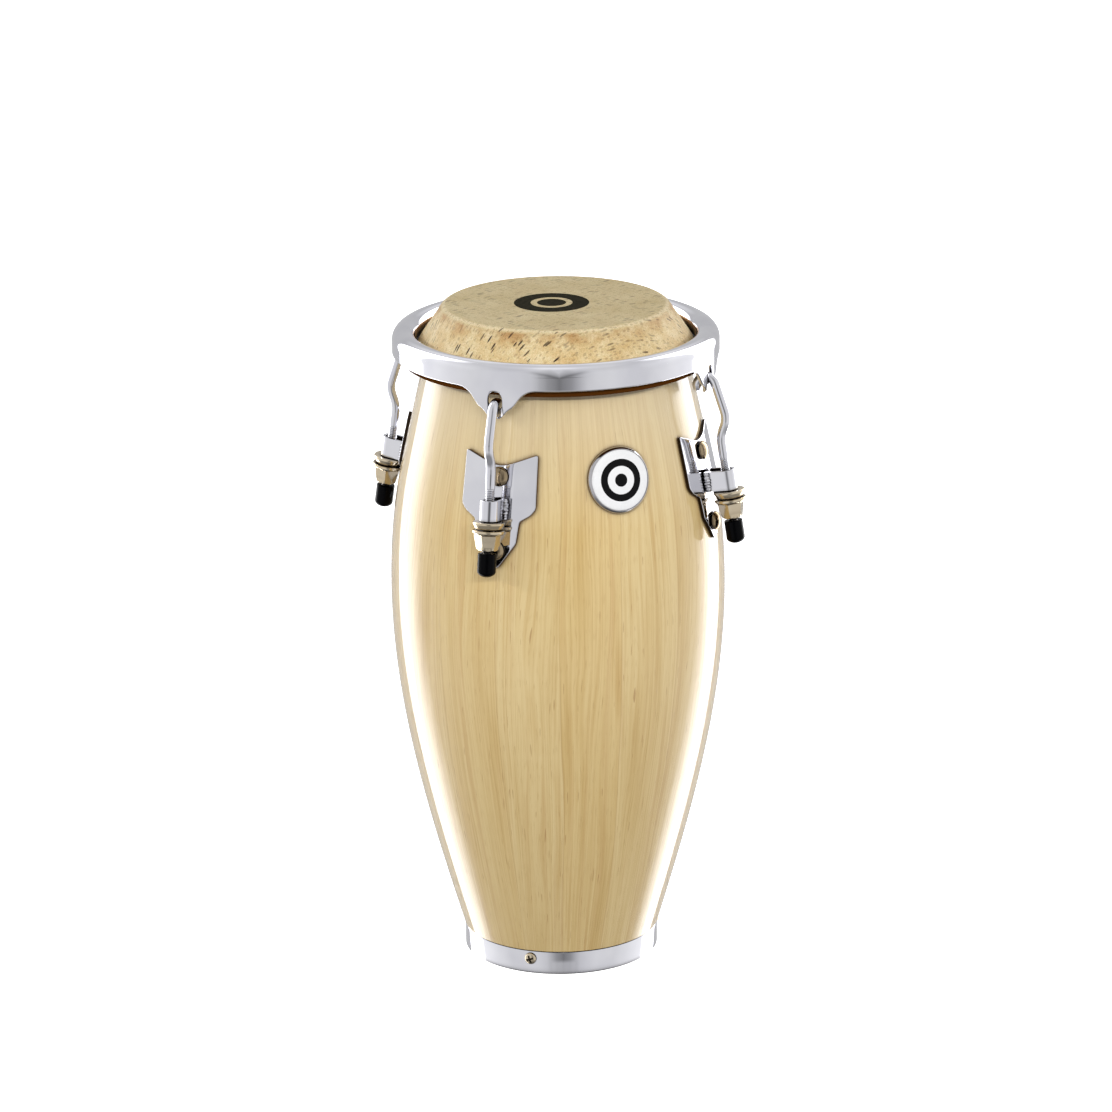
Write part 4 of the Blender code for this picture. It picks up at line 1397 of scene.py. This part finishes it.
def gloss_light(r, off, rise):
    """What gloss reflects: grey-white walls, darker in front, and a tall softbox on each side."""
    walls = r.ramp(off, *[(share, level / SOFTBOX) for share, level in WALLS])
    walls = r.math("MULTIPLY", walls, SOFTBOX)
    climb, bend, lowest, highest = CREASE
    crease = r.math("MULTIPLY", r.math("POWER", off, bend), climb)
    crease = r.math("MINIMUM", r.math("ADD", crease, lowest), highest)
    over_crease = r.math("SUBTRACT", rise, crease)
    near_crease = r.ranged(r.math("ABSOLUTE", over_crease), 0.0, 0.22, 0.34, 0.0)
    fold = r.math("MULTIPLY", near_crease, r.ramp(off, (0.0, 0.3), (0.03, 1.0), (0.11, 0.8), (0.19, 0.0)))
    walls = r.math("MULTIPLY", walls, r.math("SUBTRACT", 1.0, fold))
    near_floor = r.ramp(off, (0.0, 1.0), (0.085, 0.0))
    near_floor = r.math("MULTIPLY", near_floor, r.ranged(rise, -0.21, -0.24, 0.0, 1.15))
    walls = r.math("MULTIPLY", walls, r.math("ADD", 1.0, near_floor))
    level_with = r.ramp(r.math("ABSOLUTE", rise), (0.018, 1.0), (0.038, 0.0))
    stand = r.math("MULTIPLY", r.ramp(off, (0.06, 0.40), (0.10, 0.0)), level_with)
    walls = r.math("MULTIPLY", walls, r.math("SUBTRACT", 1.0, stand))
    high_behind = r.ramp(off, (0.80, 0.0), (0.87, 1.0))
    high_behind = r.math("MULTIPLY", high_behind, r.ramp(rise, (0.25, 0.0), (0.45, 1.0)))
    walls = r.blended(high_behind, walls, (CREST_BEHIND, CREST_BEHIND, CREST_BEHIND, 1.0))
    in_front = r.ramp(off, (0.10, 1.0), (0.22, 0.0))
    over = r.math("MULTIPLY", r.ranged(over_crease, 0.0, 0.60, 0.0, 1.0), in_front)
    overhead = r.math("MULTIPLY", r.ramp(rise, (0.36, 0.0), (0.66, 1.0)), r.math("SUBTRACT", 1.0, in_front))
    ceiling = r.ramp(rise, (0.70, 0.72), (0.85, 0.80), (0.95, 1.02))
    light = r.blended(r.math("ADD", over, overhead), walls, ceiling)
    depth = r.ramp(r.math("MULTIPLY", rise, -1.0), (0.28, 0.0), (0.45, 1.0))
    depth = r.math("MULTIPLY", depth, r.ramp(off, (0.55, 1.0), (0.62, 0.0)))
    light = r.blended(depth, light, (BELOW, BELOW, BELOW, 1.0))
    steep = r.ramp(r.math("MULTIPLY", rise, -1.0), (0.62, 0.0), (0.74, 1.0))
    light = r.blended(steep, light, (UNDERFOOT, UNDERFOOT, UNDERFOOT, 1.0))
    return r.blended(1.0, light, (0.985, 0.985, 1.0, 1.0), "MULTIPLY")


def soft_light(r, off, rise):
    """The even light that falls on matt surfaces: most of it from behind and above."""
    level = r.ramp(off, (0.35, FILL_FRONT), (0.75, FILL_BACK))
    above = r.ramp(rise, (0.15, 0.0), (0.9, 1.0))
    level = r.blended(above, level, (FILL_TOP, FILL_TOP, FILL_TOP, 1.0))
    below = r.ramp(r.math("MULTIPLY", rise, -1.0), (0.0, 0.0), (0.35, 1.0))
    return r.blended(below, level, (FILL_FLOOR, FILL_FLOOR, FILL_FLOOR, 1.0))


def make_world():
    world = bpy.data.worlds.new("studio")
    bpy.context.scene.world = world
    r = Recipe(world, "Background")
    direction = r.tree.nodes.new("ShaderNodeTexCoord").outputs["Generated"]
    off, rise = from_view(r, direction)
    path = r.tree.nodes.new("ShaderNodeLightPath").outputs
    light = r.blended(path["Is Diffuse Ray"], gloss_light(r, off, rise), soft_light(r, off, rise))
    light = r.blended(path["Is Camera Ray"], light, (1.0, 1.0, 1.0, 1.0))
    r.finish(Color=light, Strength=1.0)
    world.cycles.sampling_method = "NONE"


def make_strips():
    """An arc of long, low softboxes over the camera. Gloss doesn't show them."""
    for number, power in enumerate(STRIP_POWER):
        off = (number - (len(STRIP_POWER) - 1) / 2) * STRIP_STEP
        data = bpy.data.lights.new("strip", "AREA")
        data.shape = "RECTANGLE"
        data.size = STRIP_DISTANCE * math.radians(STRIP_STEP)
        data.size_y = STRIP_HEIGHT
        data.energy = power
        strip = bpy.data.objects.new("strip", data)
        bpy.context.scene.collection.objects.link(strip)
        aim = Matrix.Rotation(math.pi / 2 - STRIP_RISE, 4, "X")
        back = Matrix.Translation((0.0, 0.0, STRIP_DISTANCE))
        centre = Matrix.Translation((0.0, 0.0, 0.5 * HEAD_HEIGHT * MM))
        strip.matrix_world = centre @ turn_z(VIEW_TURN + 90.0 + off) @ aim @ back
        strip.visible_glossy = False


def main():
    wood = wood_finish()
    chrome = plated("chrome", srgb(222, 222, 228), srgb(232, 232, 236), (0.03, 0.07), 0.004)
    nickel = plated("warm_nickel", srgb(206, 190, 160), srgb(220, 206, 180), (0.08, 0.16), 0.006)
    # painted reflection: the bolt heads' plating is coloured brown for the wood they mirror
    brown_reflecting_nickel = plated("nickel_with_painted_reflection", srgb(150, 132, 104), srgb(178, 160, 130), (0.12, 0.22), 0.01)
    # painted shade: a dark finish for the plates' cut edges, the inside of each strap and the screw heads'
    # recesses
    painted_shade_metal = plated("metal_in_painted_shade", srgb(48, 38, 30), srgb(66, 54, 44), (0.25, 0.35), 0.01)
    # painted reflection and shade of the hide inside the rim's lip
    lip_shade = plated("lip_shade_plating", srgb(132, 92, 48), srgb(168, 126, 74), (0.25, 0.4), 0.01)
    zinc = plated("zinc", srgb(196, 198, 202), srgb(210, 211, 214), (0.28, 0.42), 0.02)
    metal = plated("badge_metal", srgb(186, 184, 186), srgb(204, 202, 204), (0.06, 0.12), 0.004)
    skin = skin_finish()
    ink = print_finish()
    rubber = rubber_finish()
    enamel = enamel_finish("white_enamel", srgb(226, 226, 227), srgb(232, 232, 233))
    black = enamel_finish("black_enamel", srgb(4, 4, 5), srgb(8, 8, 9), 0.12)
    make_shell(wood)
    make_head(skin, ink, zinc)
    make_rim(chrome, lip_shade)
    make_base(chrome, nickel, painted_shade_metal)
    make_badge(metal, enamel, black)
    make_lugs(chrome, nickel, brown_reflecting_nickel, rubber, zinc, painted_shade_metal)
    make_camera()
    make_floor()
    make_world()
    make_strips()
    bpy.context.scene.view_settings.view_transform = "Standard"


main()
